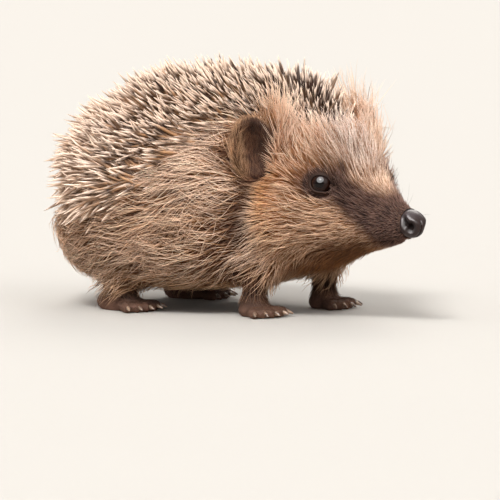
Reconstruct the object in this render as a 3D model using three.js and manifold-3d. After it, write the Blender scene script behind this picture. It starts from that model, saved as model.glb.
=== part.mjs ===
// A young European hedgehog, standing low on its four feet with its head turned a little to its right.
// Millimetres, +Z up. The trunk runs along X with the head towards +X, and the soles stand on Z = 0.
// The solids follow the outline of the coat, out to the tips of the spines and the fur.

import * as THREE from "three";
import { mergeVertices } from "three/addons/utils/BufferGeometryUtils.js";
import Module from "manifold-3d";

const wasm = await Module();
wasm.setup();

// ---- driving dimensions ----------------------------------------------------------------------

const GAP = 0.3; // clearance between neighbouring solids
const HEAD_TURN = THREE.MathUtils.degToRad(-20); // heading of the head, to the animal's right
const TURN_START = 38; // distance behind the nose where the neck starts to straighten
const TURN_END = 78; // distance behind the nose where the trunk runs straight
const LOIN = 88; // distance behind the nose where the trunk starts to close
const RUMP = 136.5; // distance behind the nose of the hindmost spine tips
const RUMP_HEIGHT = 40; // height of the hindmost point
const HEAD_CUT = 51; // parting behind the ears
const NECK_CUT = 66; // parting in front of the shoulders
const NOSE_LENGTH = 0.8; // how far the tip of the nose pad stands in front of station 0

const SNOUT_DROP = 0.8; // how far the front of the snout lies below the middle of the nose pad

// Fineness of the surfaces.
const RING_POINTS = 32;
const HEAD_STEP = 2.5;
const TRUNK_STEP = 4.4;
const RUMP_RINGS = 10;
const LINE_STEPS = 80;

// Outline of head, neck and trunk at distances behind the nose: half width, top and bottom height.
const OUTLINE = [
  { at: 2, half: 2.6, top: 33.2, bottom: 26.4 }, // under the nose pad
  { at: 6, half: 4.5, top: 34.8, bottom: 24.6 },
  { at: 12, half: 6.8, top: 38.0, bottom: 22.8 }, // bridge of the muzzle
  { at: 18, half: 9.6, top: 42.4, bottom: 21.2 },
  { at: 24, half: 13.2, top: 48.0, bottom: 19.4 }, // in front of the eyes
  { at: 30, half: 17.2, top: 54.8, bottom: 17.2 },
  { at: 36, half: 21.4, top: 62.2, bottom: 15.2 }, // brow
  { at: 42, half: 24.8, top: 68.6, bottom: 13.2 }, // first spines of the crown
  { at: 50, half: 27.8, top: 73.2, bottom: 11.2 },
  { at: 60, half: 31.0, top: 75.4, bottom: 9.0 },
  { at: 74, half: 36.0, top: 76.4, bottom: 6.8 },
  { at: 88, half: 39.0, top: 76.2, bottom: 5.6 },
];

// Height of the widest point as a share of the height, at the face and at the trunk.
const WAIST = { face: 0.46, trunk: 0.4, from: 20, to: 70 };

// Powers of the rounded outline across the body; a larger power makes it squarer.
const ROUND = { from: 24, to: 64, faceAbove: 1.95, backAbove: 2.1, faceBelow: 2.1, backBelow: 3.0 };

// Powers of the closing curve at the rump; a larger power keeps it full for longer.
const CLOSING = { half: 2.3, waist: 2, top: 1.85, bottom: 3.6 };

// The eye and the hollow in the fur that it looks out of, which opens forwards and to the side.
const EYE = { radius: 3.4, at: 29.3, side: 12.2, height: 41.1 };
const ORBIT = { radius: 5.0, forward: 3.3, out: 4.1 };

// The outer ear, a cup that opens forwards, and how far the cup reaches into the fur.
const EAR = { at: 47.6, side: 24.2, height: 51.0, wide: 6.8, deep: 5.0, tall: 10.2 };
const EAR_POSE = {
  turn: THREE.MathUtils.degToRad(30),
  roll: THREE.MathUtils.degToRad(-10),
  pitch: THREE.MathUtils.degToRad(-15),
};
const EAR_CUP = { forward: 2.6, lift: 0.3, rim: 1.4, floor: 0.4, face: 0.9, recess: 2.2 };

const NOSE = { at: 3.6, height: 30.6, long: 4.4, half: 4.2, tall: 4.5 };
const NOSTRIL = { radius: 1.15, at: 0.2, side: 3.3, drop: 0.2 };
const MOUTH = { front: 3, back: 20, height: 25.6, rise: 0.06, lead: 6, reach: 30 };
const TAIL = { at: 122, length: 15, radius: 3.2, height: 21, droop: 5 };

// Feet: place and size of the sole, the way it points outwards, its toes and the leg above it.
const FORE = {
  at: 57,
  side: 16.5,
  length: 7.5,
  half: 4.6,
  tall: 5.4,
  out: THREE.MathUtils.degToRad(8),
  toe: 4.6,
  toeRadius: 1.45,
  leg: 5.4,
};
const HIND = {
  at: 106,
  side: 21,
  length: 13.5,
  half: 4.8,
  tall: 6.0,
  out: THREE.MathUtils.degToRad(14),
  toe: 5.2,
  toeRadius: 1.5,
  leg: 7.0,
};

// Proportions that both pairs of feet share, as shares of the sole, the toe or the leg.
const FOOT = { lift: 0.38, long: 0.62, thick: 0.6, toeRoot: 0.5, spread: 0.42, shorter: 0.07, swell: 1.1 };
const LEG = { ankle: 0.72, start: 0.75, back: 1, inward: 0.5, knee: 15 };
const CLAW = { length: 3.8, radius: 0.85, droop: 1.3, clear: 0.35, inset: 0.4, taper: 0.72, deep: 1.15 };
const TOES = 5;
const TOE_FAN = THREE.MathUtils.degToRad(17);

// ---- materials -------------------------------------------------------------------------------

const finish = (color, roughness, metalness = 0) =>
  new THREE.MeshStandardMaterial({ color, roughness, metalness });

const MATERIALS = {
  spines: finish(0xb9a587, 0.7),
  fur: finish(0xa98a6a, 0.9),
  muzzle: finish(0x453a35, 0.8),
  nose: finish(0x1b1a1c, 0.3),
  eye: finish(0x120d0b, 0.05),
  ear: finish(0x4c3c34, 0.85),
  foot: finish(0x6d5546, 0.8),
  claw: finish(0x8a7460, 0.45),
};

// ---- solids from rings and back --------------------------------------------------------------

// A closed geometry through rings of points, capped with a point at each end.
function loft(rings, first, last) {
  const count = rings[0].length;
  const points = [first, ...rings.flat(), last];
  const faces = [];
  const place = (ring, i) => 1 + ring * count + (i % count);
  for (let i = 0; i < count; i++) {
    faces.push(0, place(0, i + 1), place(0, i));
    for (let r = 0; r < rings.length - 1; r++) {
      faces.push(place(r, i), place(r, i + 1), place(r + 1, i + 1));
      faces.push(place(r, i), place(r + 1, i + 1), place(r + 1, i));
    }
    const end = rings.length - 1;
    faces.push(points.length - 1, place(end, i), place(end, i + 1));
  }
  const geometry = new THREE.BufferGeometry().setFromPoints(points);
  geometry.setIndex(faces);
  return geometry;
}

// A closed three.js geometry as a manifold-3d solid.
function solid(geometry) {
  const bare = geometry.clone();
  bare.deleteAttribute("normal");
  bare.deleteAttribute("uv");
  const merged = mergeVertices(bare, 1e-4);
  const faces = new Uint32Array(merged.index.array);
  const build = (triVerts) =>
    new wasm.Manifold(
      new wasm.Mesh({ numProp: 3, vertProperties: merged.attributes.position.array, triVerts }),
    );
  const made = build(faces);
  return made.volume() > 0 ? made : build(faces.reverse());
}

// A manifold-3d solid as a named mesh.
function node(name, shape, material) {
  const { numProp, vertProperties, triVerts, numVert } = shape.getMesh();
  const position = new Float32Array(numVert * 3);
  for (let i = 0; i < numVert; i++) {
    position.set(vertProperties.subarray(i * numProp, i * numProp + 3), i * 3);
  }
  const geometry = new THREE.BufferGeometry();
  geometry.setAttribute("position", new THREE.BufferAttribute(position, 3));
  geometry.setIndex(new THREE.BufferAttribute(new Uint32Array(triVerts), 1));
  geometry.computeVertexNormals();
  const mesh = new THREE.Mesh(geometry, material);
  mesh.name = name;
  return mesh;
}

// ---- the line that the body is built on ------------------------------------------------------

const smooth = (x) => {
  const t = THREE.MathUtils.clamp(x, 0, 1);
  return t * t * (3 - 2 * t);
};

// Heading of the body at a distance behind the nose; 0 is straight along +X.
const heading = (at) => HEAD_TURN * (1 - smooth((at - TURN_START) / (TURN_END - TURN_START)));

// Point on the midline at a distance behind the nose, with z = 0.
function midline(at) {
  const point = new THREE.Vector3();
  for (let i = 0; i < LINE_STEPS; i++) {
    const angle = heading(((i + 0.5) / LINE_STEPS) * at);
    point.x -= (Math.cos(angle) * at) / LINE_STEPS;
    point.y -= (Math.sin(angle) * at) / LINE_STEPS;
  }
  return point;
}

// Turns a distance behind the nose, a distance to the left and a height into a point.
function place(at, left, height) {
  const angle = heading(at);
  const point = midline(at);
  point.x -= Math.sin(angle) * left;
  point.y += Math.cos(angle) * left;
  point.z = height;
  return point;
}

// Smooth value between the stations of the outline.
function between(at, key) {
  const last = OUTLINE.length - 1;
  let i = 0;
  while (i < last - 1 && at > OUTLINE[i + 1].at) i++;
  const slope = (k) => {
    const low = OUTLINE[Math.max(k - 1, 0)];
    const high = OUTLINE[Math.min(k + 1, last)];
    return (high[key] - low[key]) / (high.at - low.at);
  };
  const [a, b] = [OUTLINE[i], OUTLINE[i + 1]];
  const span = b.at - a.at;
  const t = THREE.MathUtils.clamp((at - a.at) / span, 0, 1);
  const s = smooth(t);
  const bend = t * (1 - t) * (1 - t) * slope(i) - t * t * (1 - t) * slope(i + 1);
  return a[key] * (1 - s) + b[key] * s + span * bend;
}

// Half width, top, bottom and widest height of the body at a distance behind the nose.
function section(at) {
  const bounded = Math.min(at, LOIN);
  let [half, top, bottom] = ["half", "top", "bottom"].map((key) => between(bounded, key));
  const back = smooth((bounded - WAIST.from) / (WAIST.to - WAIST.from));
  let waist = bottom + (top - bottom) * THREE.MathUtils.lerp(WAIST.face, WAIST.trunk, back);
  if (at > LOIN) {
    const run = (at - LOIN) / (RUMP - LOIN);
    const closed = (power) => Math.pow(Math.max(1 - Math.pow(run, power), 0), 1 / power);
    half *= closed(CLOSING.half);
    waist = THREE.MathUtils.lerp(RUMP_HEIGHT, waist, closed(CLOSING.waist));
    top = RUMP_HEIGHT + (top - RUMP_HEIGHT) * closed(CLOSING.top);
    bottom = RUMP_HEIGHT - (RUMP_HEIGHT - bottom) * closed(CLOSING.bottom);
  }
  return { half, top, bottom, waist };
}

// One closed ring of the outline. The back is arched, the belly flatter, the face narrow on top.
function ring(at, grow) {
  const { half, top, bottom, waist } = section(at);
  const trunkward = smooth((at - ROUND.from) / (ROUND.to - ROUND.from));
  const above = 2 / THREE.MathUtils.lerp(ROUND.faceAbove, ROUND.backAbove, trunkward);
  const below = 2 / THREE.MathUtils.lerp(ROUND.faceBelow, ROUND.backBelow, trunkward);
  const points = [];
  for (let i = 0; i < RING_POINTS; i++) {
    const angle = (2 * Math.PI * i) / RING_POINTS;
    const [c, s] = [Math.cos(angle), Math.sin(angle)];
    const power = s > 0 ? above : below;
    const side = Math.sign(c) * Math.pow(Math.abs(c), power) * (half + grow);
    const reach = s > 0 ? top - waist + grow : waist - bottom + grow;
    points.push(place(at, side, waist + Math.sign(s) * Math.pow(Math.abs(s), power) * reach));
  }
  return points;
}

// Distances of the rings behind the nose, close together on the face and at the rump.
function stations() {
  const found = [];
  const first = OUTLINE[0].at;
  for (let at = first; at < HEAD_CUT; at += HEAD_STEP) found.push(at);
  for (let at = HEAD_CUT; at < LOIN - 1; at += TRUNK_STEP) found.push(at);
  for (let i = 0; i < RUMP_RINGS; i++) {
    found.push(LOIN + (RUMP - LOIN) * Math.sin((Math.PI / 2) * (i / RUMP_RINGS)));
  }
  return found;
}

// Head, neck and trunk in one piece, grown outwards by a clearance where a neighbour is cut by it.
function wholeBody(grow = 0) {
  const rings = stations().map((at) => ring(at, grow));
  const front = place(OUTLINE[0].at - 1, 0, NOSE.height - SNOUT_DROP);
  const back = place(RUMP + grow, 0, RUMP_HEIGHT);
  return solid(loft(rings, front, back));
}

// Keeps what lies in front of (or behind) a parting across the body.
function cutAcross(shape, at, inFront) {
  const angle = heading(at);
  const way = inFront ? 1 : -1;
  const normal = [Math.cos(angle) * way, Math.sin(angle) * way, 0];
  const point = midline(at);
  const offset = point.x * normal[0] + point.y * normal[1];
  return shape.trimByPlane(normal, offset + GAP / 2);
}

// ---- simple forms ----------------------------------------------------------------------------

// An ellipsoid, tilted sideways (roll) and backwards (pitch) and turned to a heading.
function ellipsoid(centre, radii, { turn = 0, roll = 0, pitch = 0, rings = 8 } = {}) {
  const geometry = new THREE.SphereGeometry(1, rings * 2, rings);
  geometry.rotateX(Math.PI / 2);
  geometry.scale(...radii);
  geometry.rotateX(roll);
  geometry.rotateY(pitch);
  geometry.rotateZ(turn);
  geometry.translate(centre.x, centre.y, centre.z);
  return solid(geometry);
}

// A tapering limb between two points, round at both ends.
function limb(from, to, radiusFrom, radiusTo, sides = 8) {
  const axis = to.clone().sub(from);
  const length = axis.length();
  const profile = [new THREE.Vector2(0, -radiusFrom)];
  const bends = 2;
  for (let i = 1; i <= bends; i++) {
    const angle = (Math.PI / 2) * (i / bends - 1);
    profile.push(new THREE.Vector2(Math.cos(angle) * radiusFrom, Math.sin(angle) * radiusFrom));
  }
  for (let i = 0; i < bends; i++) {
    const angle = (Math.PI / 2) * (i / bends);
    profile.push(new THREE.Vector2(Math.cos(angle) * radiusTo, length + Math.sin(angle) * radiusTo));
  }
  profile.push(new THREE.Vector2(0, length + radiusTo));
  const geometry = new THREE.LatheGeometry(profile, sides);
  const up = new THREE.Vector3(0, 1, 0);
  geometry.applyQuaternion(new THREE.Quaternion().setFromUnitVectors(up, axis.normalize()));
  geometry.translate(from.x, from.y, from.z);
  return solid(geometry);
}

// ---- parts of the head -----------------------------------------------------------------------

const eyeSolid = (left, grow = 0) =>
  ellipsoid(place(EYE.at, left * EYE.side, EYE.height), Array(3).fill(EYE.radius + grow));

const orbitSolid = (left) =>
  ellipsoid(
    place(EYE.at - ORBIT.forward, left * (EYE.side + ORBIT.out), EYE.height),
    Array(3).fill(ORBIT.radius),
  );

// The nose pad: a rounded knob with a nostril opening on each side.
function noseSolid(grow = 0) {
  const centre = place(NOSE.at - NOSE_LENGTH, 0, NOSE.height);
  const radii = [NOSE.long, NOSE.half, NOSE.tall].map((r) => r + grow);
  let pad = ellipsoid(centre, radii, { turn: HEAD_TURN, rings: 9 });
  if (grow) return pad;
  for (const left of [-1, 1]) {
    const hole = place(NOSTRIL.at, left * NOSTRIL.side, NOSE.height - NOSTRIL.drop);
    const size = [1.5, 1, 1].map((r) => r * NOSTRIL.radius);
    pad = pad.subtract(ellipsoid(hole, size, { rings: 5 }));
  }
  return pad;
}

// The space inside the cup of an ear, and the direction that it opens to.
function earCup(left, recess = 0) {
  const turn = HEAD_TURN + left * EAR_POSE.turn;
  const pose = { turn, roll: left * EAR_POSE.roll, pitch: EAR_POSE.pitch, rings: 8 };
  const opening = new THREE.Vector3(Math.cos(turn), Math.sin(turn), 0);
  const centre = place(EAR.at, left * EAR.side, EAR.height);
  const middle = centre.clone().addScaledVector(opening, EAR_CUP.forward + recess);
  middle.z += EAR_CUP.lift;
  const deep = EAR.deep + recess - EAR_CUP.floor;
  const radii = [deep, EAR.wide - EAR_CUP.rim, EAR.tall - EAR_CUP.rim];
  return { pose, opening, centre, middle, space: ellipsoid(middle, radii, pose) };
}

// The outer ear: a shallow upright cup that faces forwards and outwards.
function earSolid(left) {
  const { pose, opening, centre, middle, space } = earCup(left);
  const outer = ellipsoid(centre, [EAR.deep, EAR.wide, EAR.tall], pose);
  const front = middle.dot(opening) - EAR_CUP.face;
  const away = opening.clone().negate().toArray();
  const cup = outer.subtract(space).trimByPlane(away, -front);
  return largest(cup.subtract(wholeBody(GAP)));
}

// The biggest of the pieces that a cut leaves.
function largest(shape) {
  const pieces = shape.decompose();
  return pieces.reduce((a, b) => (a.volume() > b.volume() ? a : b));
}

// The block of space that the lower jaw is cut out of, with its top along the line of the mouth.
function jawSpace(grow) {
  const corners = [];
  for (const [at, lift] of [
    [MOUTH.front - MOUTH.lead, 0],
    [MOUTH.back + grow, (MOUTH.back - MOUTH.front) * MOUTH.rise],
  ]) {
    const height = MOUTH.height - lift + grow;
    corners.push([
      place(at, MOUTH.reach, 0),
      place(at, MOUTH.reach, height),
      place(at, -MOUTH.reach, height),
      place(at, -MOUTH.reach, 0),
    ]);
  }
  const middle = (c) => c.reduce((a, b) => a.clone().add(b)).divideScalar(4);
  return solid(loft(corners, middle(corners[0]), middle(corners[1])));
}

// ---- legs, feet and claws --------------------------------------------------------------------

// Centre, direction and length of each toe of a foot.
function toesOf(spec, left) {
  const turn = heading(spec.at) + left * spec.out;
  const heel = place(spec.at, left * spec.side, 0);
  return Array.from({ length: TOES }, (_, i) => {
    const fan = i - (TOES - 1) / 2;
    const angle = turn + fan * TOE_FAN;
    const way = new THREE.Vector3(Math.cos(angle), Math.sin(angle), 0);
    const across = new THREE.Vector3(-Math.sin(turn), Math.cos(turn), 0);
    const root = heel
      .clone()
      .addScaledVector(new THREE.Vector3(Math.cos(turn), Math.sin(turn), 0), spec.length * FOOT.toeRoot)
      .addScaledVector(across, fan * spec.half * FOOT.spread);
    root.z = spec.toeRadius;
    return { root, way, reach: spec.toe * (1 - FOOT.shorter * fan * fan) };
  });
}

// The sole with five short toes, flat where it stands.
function footSolid(spec, left, grow = 0) {
  const turn = heading(spec.at) + left * spec.out;
  const heel = place(spec.at, left * spec.side, spec.tall * FOOT.lift);
  const radii = [spec.length * FOOT.long, spec.half, spec.tall * FOOT.thick].map((r) => r + grow);
  let foot = ellipsoid(heel, radii, { turn, rings: 6 });
  for (const { root, way, reach } of toesOf(spec, left)) {
    const tip = root.clone().addScaledVector(way, reach);
    foot = foot.add(limb(root, tip, spec.toeRadius * FOOT.swell + grow, spec.toeRadius + grow, 6));
  }
  return foot.trimByPlane([0, 0, 1], 0);
}

// A curved claw at the end of a toe, clear of the ground.
function clawSolid({ root, way, reach }, spec) {
  const start = root.clone().addScaledVector(way, reach + spec.toeRadius * CLAW.inset);
  start.z = spec.toeRadius + CLAW.clear;
  const across = new THREE.Vector3(-way.y, way.x, 0);
  const up = new THREE.Vector3(0, 0, 1);
  const sides = 5;
  const rings = [0, 0.5].map((t) => {
    const centre = start.clone().addScaledVector(way, CLAW.length * t);
    centre.z -= CLAW.droop * t * t;
    const radius = CLAW.radius * (1 - CLAW.taper * t);
    return Array.from({ length: sides }, (_, i) => {
      const angle = (2 * Math.PI * i) / sides;
      return centre
        .clone()
        .addScaledVector(across, Math.cos(angle) * radius)
        .addScaledVector(up, -Math.sin(angle) * radius * CLAW.deep);
    });
  });
  const end = start.clone().addScaledVector(way, CLAW.length);
  end.z = Math.max(start.z - CLAW.droop, CLAW.clear);
  return solid(loft(rings, start, end));
}

// The part of the leg that shows between the foot and the fur of the belly.
function legSolid(spec, left) {
  const foot = place(spec.at, left * spec.side, spec.tall * LEG.start);
  const knee = place(spec.at - LEG.back, left * (spec.side - LEG.inward), LEG.knee);
  const whole = limb(foot, knee, spec.leg * LEG.ankle, spec.leg);
  return largest(whole.subtract(wholeBody(GAP)).subtract(footSolid(spec, left, GAP)));
}

// ---- the animal ------------------------------------------------------------------------------

const hedgehog = new THREE.Group();
const body = wholeBody();

// Head with sockets for the eyes, a seat for the nose and the lower jaw cut free.
let head = cutAcross(body, HEAD_CUT, true).subtract(noseSolid(GAP)).subtract(jawSpace(0));
for (const left of [-1, 1]) {
  head = head.subtract(eyeSolid(left, GAP)).subtract(orbitSolid(left));
  head = head.subtract(earCup(left, EAR_CUP.recess).space);
}
const jaw = cutAcross(body, HEAD_CUT, true).intersect(jawSpace(-GAP)).subtract(noseSolid(GAP));
hedgehog.add(node("head", largest(head), MATERIALS.fur));
hedgehog.add(node("lower_jaw", largest(jaw), MATERIALS.muzzle));
hedgehog.add(node("nose", noseSolid(), MATERIALS.nose));

const neck = cutAcross(cutAcross(body, HEAD_CUT, false), NECK_CUT, true);
hedgehog.add(node("neck", neck, MATERIALS.spines));
hedgehog.add(node("trunk", cutAcross(body, NECK_CUT, false), MATERIALS.spines));

const tailRoot = place(TAIL.at, 0, TAIL.height);
const tailTip = place(TAIL.at + TAIL.length, 0, TAIL.height - TAIL.droop);
const tail = limb(tailRoot, tailTip, TAIL.radius, TAIL.radius * 0.55);
hedgehog.add(node("tail", largest(tail.subtract(wholeBody(GAP))), MATERIALS.fur));

for (const [side, left] of [
  ["left", 1],
  ["right", -1],
]) {
  hedgehog.add(node(`eye_${side}`, eyeSolid(left), MATERIALS.eye));
  hedgehog.add(node(`ear_${side}`, earSolid(left), MATERIALS.ear));
  for (const [limbName, spec] of [
    ["fore", FORE],
    ["hind", HIND],
  ]) {
    hedgehog.add(node(`${limbName}leg_${side}`, legSolid(spec, left), MATERIALS.fur));
    hedgehog.add(node(`${limbName}foot_${side}`, footSolid(spec, left), MATERIALS.foot));
    toesOf(spec, left).forEach((toe, i) => {
      const claw = largest(clawSolid(toe, spec).subtract(footSolid(spec, left, GAP)));
      hedgehog.add(node(`${limbName}claw_${side}_${i + 1}`, claw, MATERIALS.claw));
    });
  }
}

// Sets the origin on the ground, under the middle of the animal.
const box = new THREE.Box3().setFromObject(hedgehog);
hedgehog.position.set(-(box.min.x + box.max.x) / 2, -(box.min.y + box.max.y) / 2, -box.min.z);

export default hedgehog;
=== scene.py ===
"""A young European hedgehog that stands low on its four feet, its head turned a little to its right.

One skin carries the whole body, with lids, mouth, ears and feet. Over it lie dark-banded spines on the back
and several layers of hair on face, flanks, belly and legs. Nose pad, eyes and claws are pieces of their own.
Everything is in metres, in the row's frame: +X runs along the trunk towards the head and +Z is up.
"""

from __future__ import annotations

import sys
import logging
import math
from collections.abc import Callable
from dataclasses import dataclass, field
from enum import Enum
from functools import cached_property

import bmesh
import bpy
import numpy as np
from mathutils import Matrix, Vector
from mathutils.bvhtree import BVHTree
from mathutils.kdtree import KDTree


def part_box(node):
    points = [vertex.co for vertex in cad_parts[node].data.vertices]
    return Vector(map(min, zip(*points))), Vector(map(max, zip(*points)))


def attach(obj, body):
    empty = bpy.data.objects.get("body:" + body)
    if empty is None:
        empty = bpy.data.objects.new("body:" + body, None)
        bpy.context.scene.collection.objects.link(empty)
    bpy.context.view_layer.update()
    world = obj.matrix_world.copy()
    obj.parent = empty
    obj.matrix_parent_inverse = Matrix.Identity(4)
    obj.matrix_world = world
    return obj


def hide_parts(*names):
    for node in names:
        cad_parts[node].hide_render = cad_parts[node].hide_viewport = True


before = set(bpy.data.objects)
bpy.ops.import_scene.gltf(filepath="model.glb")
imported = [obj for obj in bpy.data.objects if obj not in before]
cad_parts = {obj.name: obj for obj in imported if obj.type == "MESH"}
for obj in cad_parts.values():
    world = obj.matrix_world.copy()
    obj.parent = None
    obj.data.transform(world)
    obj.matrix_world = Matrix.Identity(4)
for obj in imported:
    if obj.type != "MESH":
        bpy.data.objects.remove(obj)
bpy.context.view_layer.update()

LOG = logging.getLogger("hedgehog")
MM = 0.001
ROOT_BODY = "root"
TINT = "tint"  # colour attribute that skin and coat share
BAKE_MAP = "OFBake"
WETNESS = "wetness"  # roughness where it varies over a piece
PATCH = 0.003  # size of one hair's patch on the unwrap of the skin
UP = np.array([0.0, 0.0, 1.0])
Array = np.ndarray
Chance = np.random.Generator
Piece = bpy.types.Object
Pair = tuple[float, float]
Triple = tuple[float, float, float]
Spot = tuple[float, float, float]  # distance behind the nose, height and reach, in millimetres


class Side(Enum):
    """The two sides of the animal, as a sign along the direction to its left."""

    LEFT = 1
    RIGHT = -1

    @property
    def label(self) -> str:
        """The side's name as the solids use it."""
        return self.name.lower()


# ---- small helpers ----


def ramp(x: Array, low: float, high: float) -> Array:
    """Rises smoothly from 0 at low to 1 at high."""
    t = np.clip((np.asarray(x, float) - low) / (high - low), 0.0, 1.0)
    return t * t * (3.0 - 2.0 * t)


def mix(a: Array, b: Array, share: Array) -> Array:
    """Blends a towards b by a share between 0 and 1."""
    return a + (b - a) * share


def unit(v: Array) -> Array:
    """The same directions with length 1."""
    return v / np.maximum(np.linalg.norm(v, axis=-1, keepdims=True), 1e-12)


def shade(code: str) -> Array:
    """A colour written as six hexadecimal digits, as linear light.

    Args:
        code: red, green and blue as two digits each.
    """
    c = np.array([int(code[i : i + 2], 16) for i in (0, 2, 4)]) / 255.0
    return np.where(c <= 0.04045, c / 12.92, ((c + 0.055) / 1.055) ** 2.4)


def ripple(points: Array, size: float, seed: int) -> Array:
    """A smooth wavering value around 0 over space.

    Args:
        points: places, in metres.
        size: typical width of one swelling, in metres.
        seed: picks the pattern.

    Returns:
        One value for each point, mostly between -1 and 1.
    """
    count, pace, swing = 7, 2.4, 3.0
    rng = np.random.default_rng(seed)
    waves = rng.normal(size=(count, 3)) * (pace / size)
    phases = rng.uniform(0, 2 * math.pi, count)
    return np.sin(points @ waves.T + phases).sum(axis=1) / swing


def bell(x: Array, middle: Array | float, width: float) -> Array:
    """A soft hump: 1 in its middle, and about a third at its width."""
    return np.exp(-(((x - middle) / width) ** 2))


def layered(colour: Array, layers: list[tuple[Array, Array]]) -> Array:
    """Lays colours over each other.

    Args:
        colour: the colours below.
        layers: each further colour with its share at each place.

    Returns:
        The colours that show.
    """
    for over, share in layers:
        colour = mix(colour, over, share[:, None])
    return colour


def seen_from(azimuth: float, elevation: float) -> Array:
    """The direction from the animal to a place given by azimuth and elevation, in degrees."""
    a, e = math.radians(azimuth), math.radians(elevation)
    return np.array([math.sin(a) * math.cos(e), -math.cos(a) * math.cos(e), math.sin(e)])


@dataclass(frozen=True)
class Profile:
    """A value that changes evenly between the stations where it is known."""

    stations: tuple[float, ...]
    values: tuple[float, ...]

    def __call__(self, x: Array) -> Array:
        """The value at other stations."""
        return np.interp(x, self.stations, self.values)


@dataclass(frozen=True)
class Edge:
    """A soft edge between two values."""

    low: float
    high: float

    def past(self, x: Array) -> Array:
        """0 before the edge and 1 past it."""
        return ramp(x, self.low, self.high)

    def before(self, x: Array) -> Array:
        """1 before the edge and 0 past it."""
        return 1 - ramp(x, self.low, self.high)


def centre_of(node: str) -> Array:
    """The middle of a solid's box."""
    low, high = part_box(node)
    return (np.array(low) + np.array(high)) / 2


# ---- the body's own measures ----


MIDDLE_HEIGHT = Profile((0, 20, 40, 60, 110, 125, 138), (30, 32, 40, 41, 40, 34, 28))


@dataclass(frozen=True)
class Chart:
    """Where points lie on the animal, in millimetres, and how much they belong to its parts.

    The parts are ear, leg, foot and tail, cup and pit for the ears' hollows, and beside_ear.
    """

    at: Array
    left: Array
    height: Array
    parts: dict[str, Array] = field(default_factory=dict)

    def part(self, name: str) -> Array:
        """How much each point belongs to a part, from 0 to 1."""
        return self.parts.get(name, np.zeros_like(self.at))

    @cached_property
    def angle(self) -> Array:
        """How far round the body each point lies, in degrees: 0 level with the middle, 90 on top.

        Returns:
            One angle for each point.
        """
        least = 0.01
        rise = self.height - MIDDLE_HEIGHT(self.at)
        return np.degrees(np.arctan2(rise, np.maximum(np.abs(self.left), least)))

    def near(self, at: float, height: float, reach: float) -> Array:
        """A soft round spot on both sides of the animal, 1 in its middle."""
        return np.exp(-((self.at - at) ** 2 + (self.height - height) ** 2) / reach**2)


@dataclass(frozen=True)
class BodyLine:
    """The line along the middle of the body: straight in trunk and head, turned at the neck."""

    head_turn: float = math.radians(-20.0)
    turn_start: float = 38.0 * MM
    turn_end: float = 78.0 * MM
    nose_station: float = 2.8 * MM
    length: float = 150.0 * MM
    step: float = 1.0 * MM
    block: int = 20000

    def heading(self, at: Array) -> Array:
        """Heading of the body at distances behind the nose, in radians."""
        return self.head_turn * (1.0 - ramp(at, self.turn_start, self.turn_end))

    def forward(self, at: Array) -> Array:
        """Unit vectors towards the head at distances behind the nose."""
        angle = self.heading(np.asarray(at, float))
        return np.stack([np.cos(angle), np.sin(angle), np.zeros_like(angle)], axis=-1)

    @cached_property
    def stations(self) -> Array:
        """Distances behind the nose of the points of the line."""
        return np.arange(0.0, self.length, self.step)

    @cached_property
    def points(self) -> Array:
        """Points of the line on the ground.

        Returns:
            Points with x and y, from the nose backwards.
        """
        steps = self.forward(self.stations[:-1] + self.step / 2)[:, :2] * -self.step
        line = np.concatenate([np.zeros((1, 2)), np.cumsum(steps, axis=0)])
        start = self.forward(np.zeros(1))[0, :2] * -self.nose_station
        return line + centre_of("nose")[:2] - start

    def place(self, at: float, left: float, height: float) -> Array:
        """The point at a distance behind the nose, a distance to the left and a height.

        Args:
            at: distance behind the nose along the line.
            left: distance to the left of it.
            height: height over the floor.

        Returns:
            The point, in metres.
        """
        x = np.interp(at, self.stations, self.points[:, 0])
        y = np.interp(at, self.stations, self.points[:, 1])
        f = self.forward(np.array([at]))[0]
        return np.array([x - f[1] * left, y + f[0] * left, height])

    def chart(self, points: Array, parts: dict[str, Array] | None = None) -> Chart:
        """Measures points along the body.

        Args:
            points: places, in metres.
            parts: how much each point belongs to a named part.

        Returns:
            The chart of the points.
        """
        at = np.empty(len(points))
        left = np.empty(len(points))
        ahead = self.forward(self.stations)[:, :2]
        across = np.stack([-ahead[:, 1], ahead[:, 0]], axis=1)
        for start in range(0, len(points), self.block):
            part = slice(start, start + self.block)
            offset = points[part, None, :2] - self.points[None]
            along = (offset * ahead[None]).sum(axis=2)
            found = along > 0
            i = np.clip(np.where(found.any(axis=1), found.argmax(axis=1), len(ahead) - 1), 1, None)
            rows = np.arange(len(i))
            before, after = along[rows, i - 1], along[rows, i]
            t = np.clip(before / np.minimum(before - after, -1e-12), 0.0, 1.0)
            at[part] = self.stations[i - 1] + t * self.step
            left[part] = (offset[rows, i] * across[i]).sum(axis=1)
        return Chart(at / MM, left / MM, points[:, 2] / MM, parts or {})


LINE = BodyLine()


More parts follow.
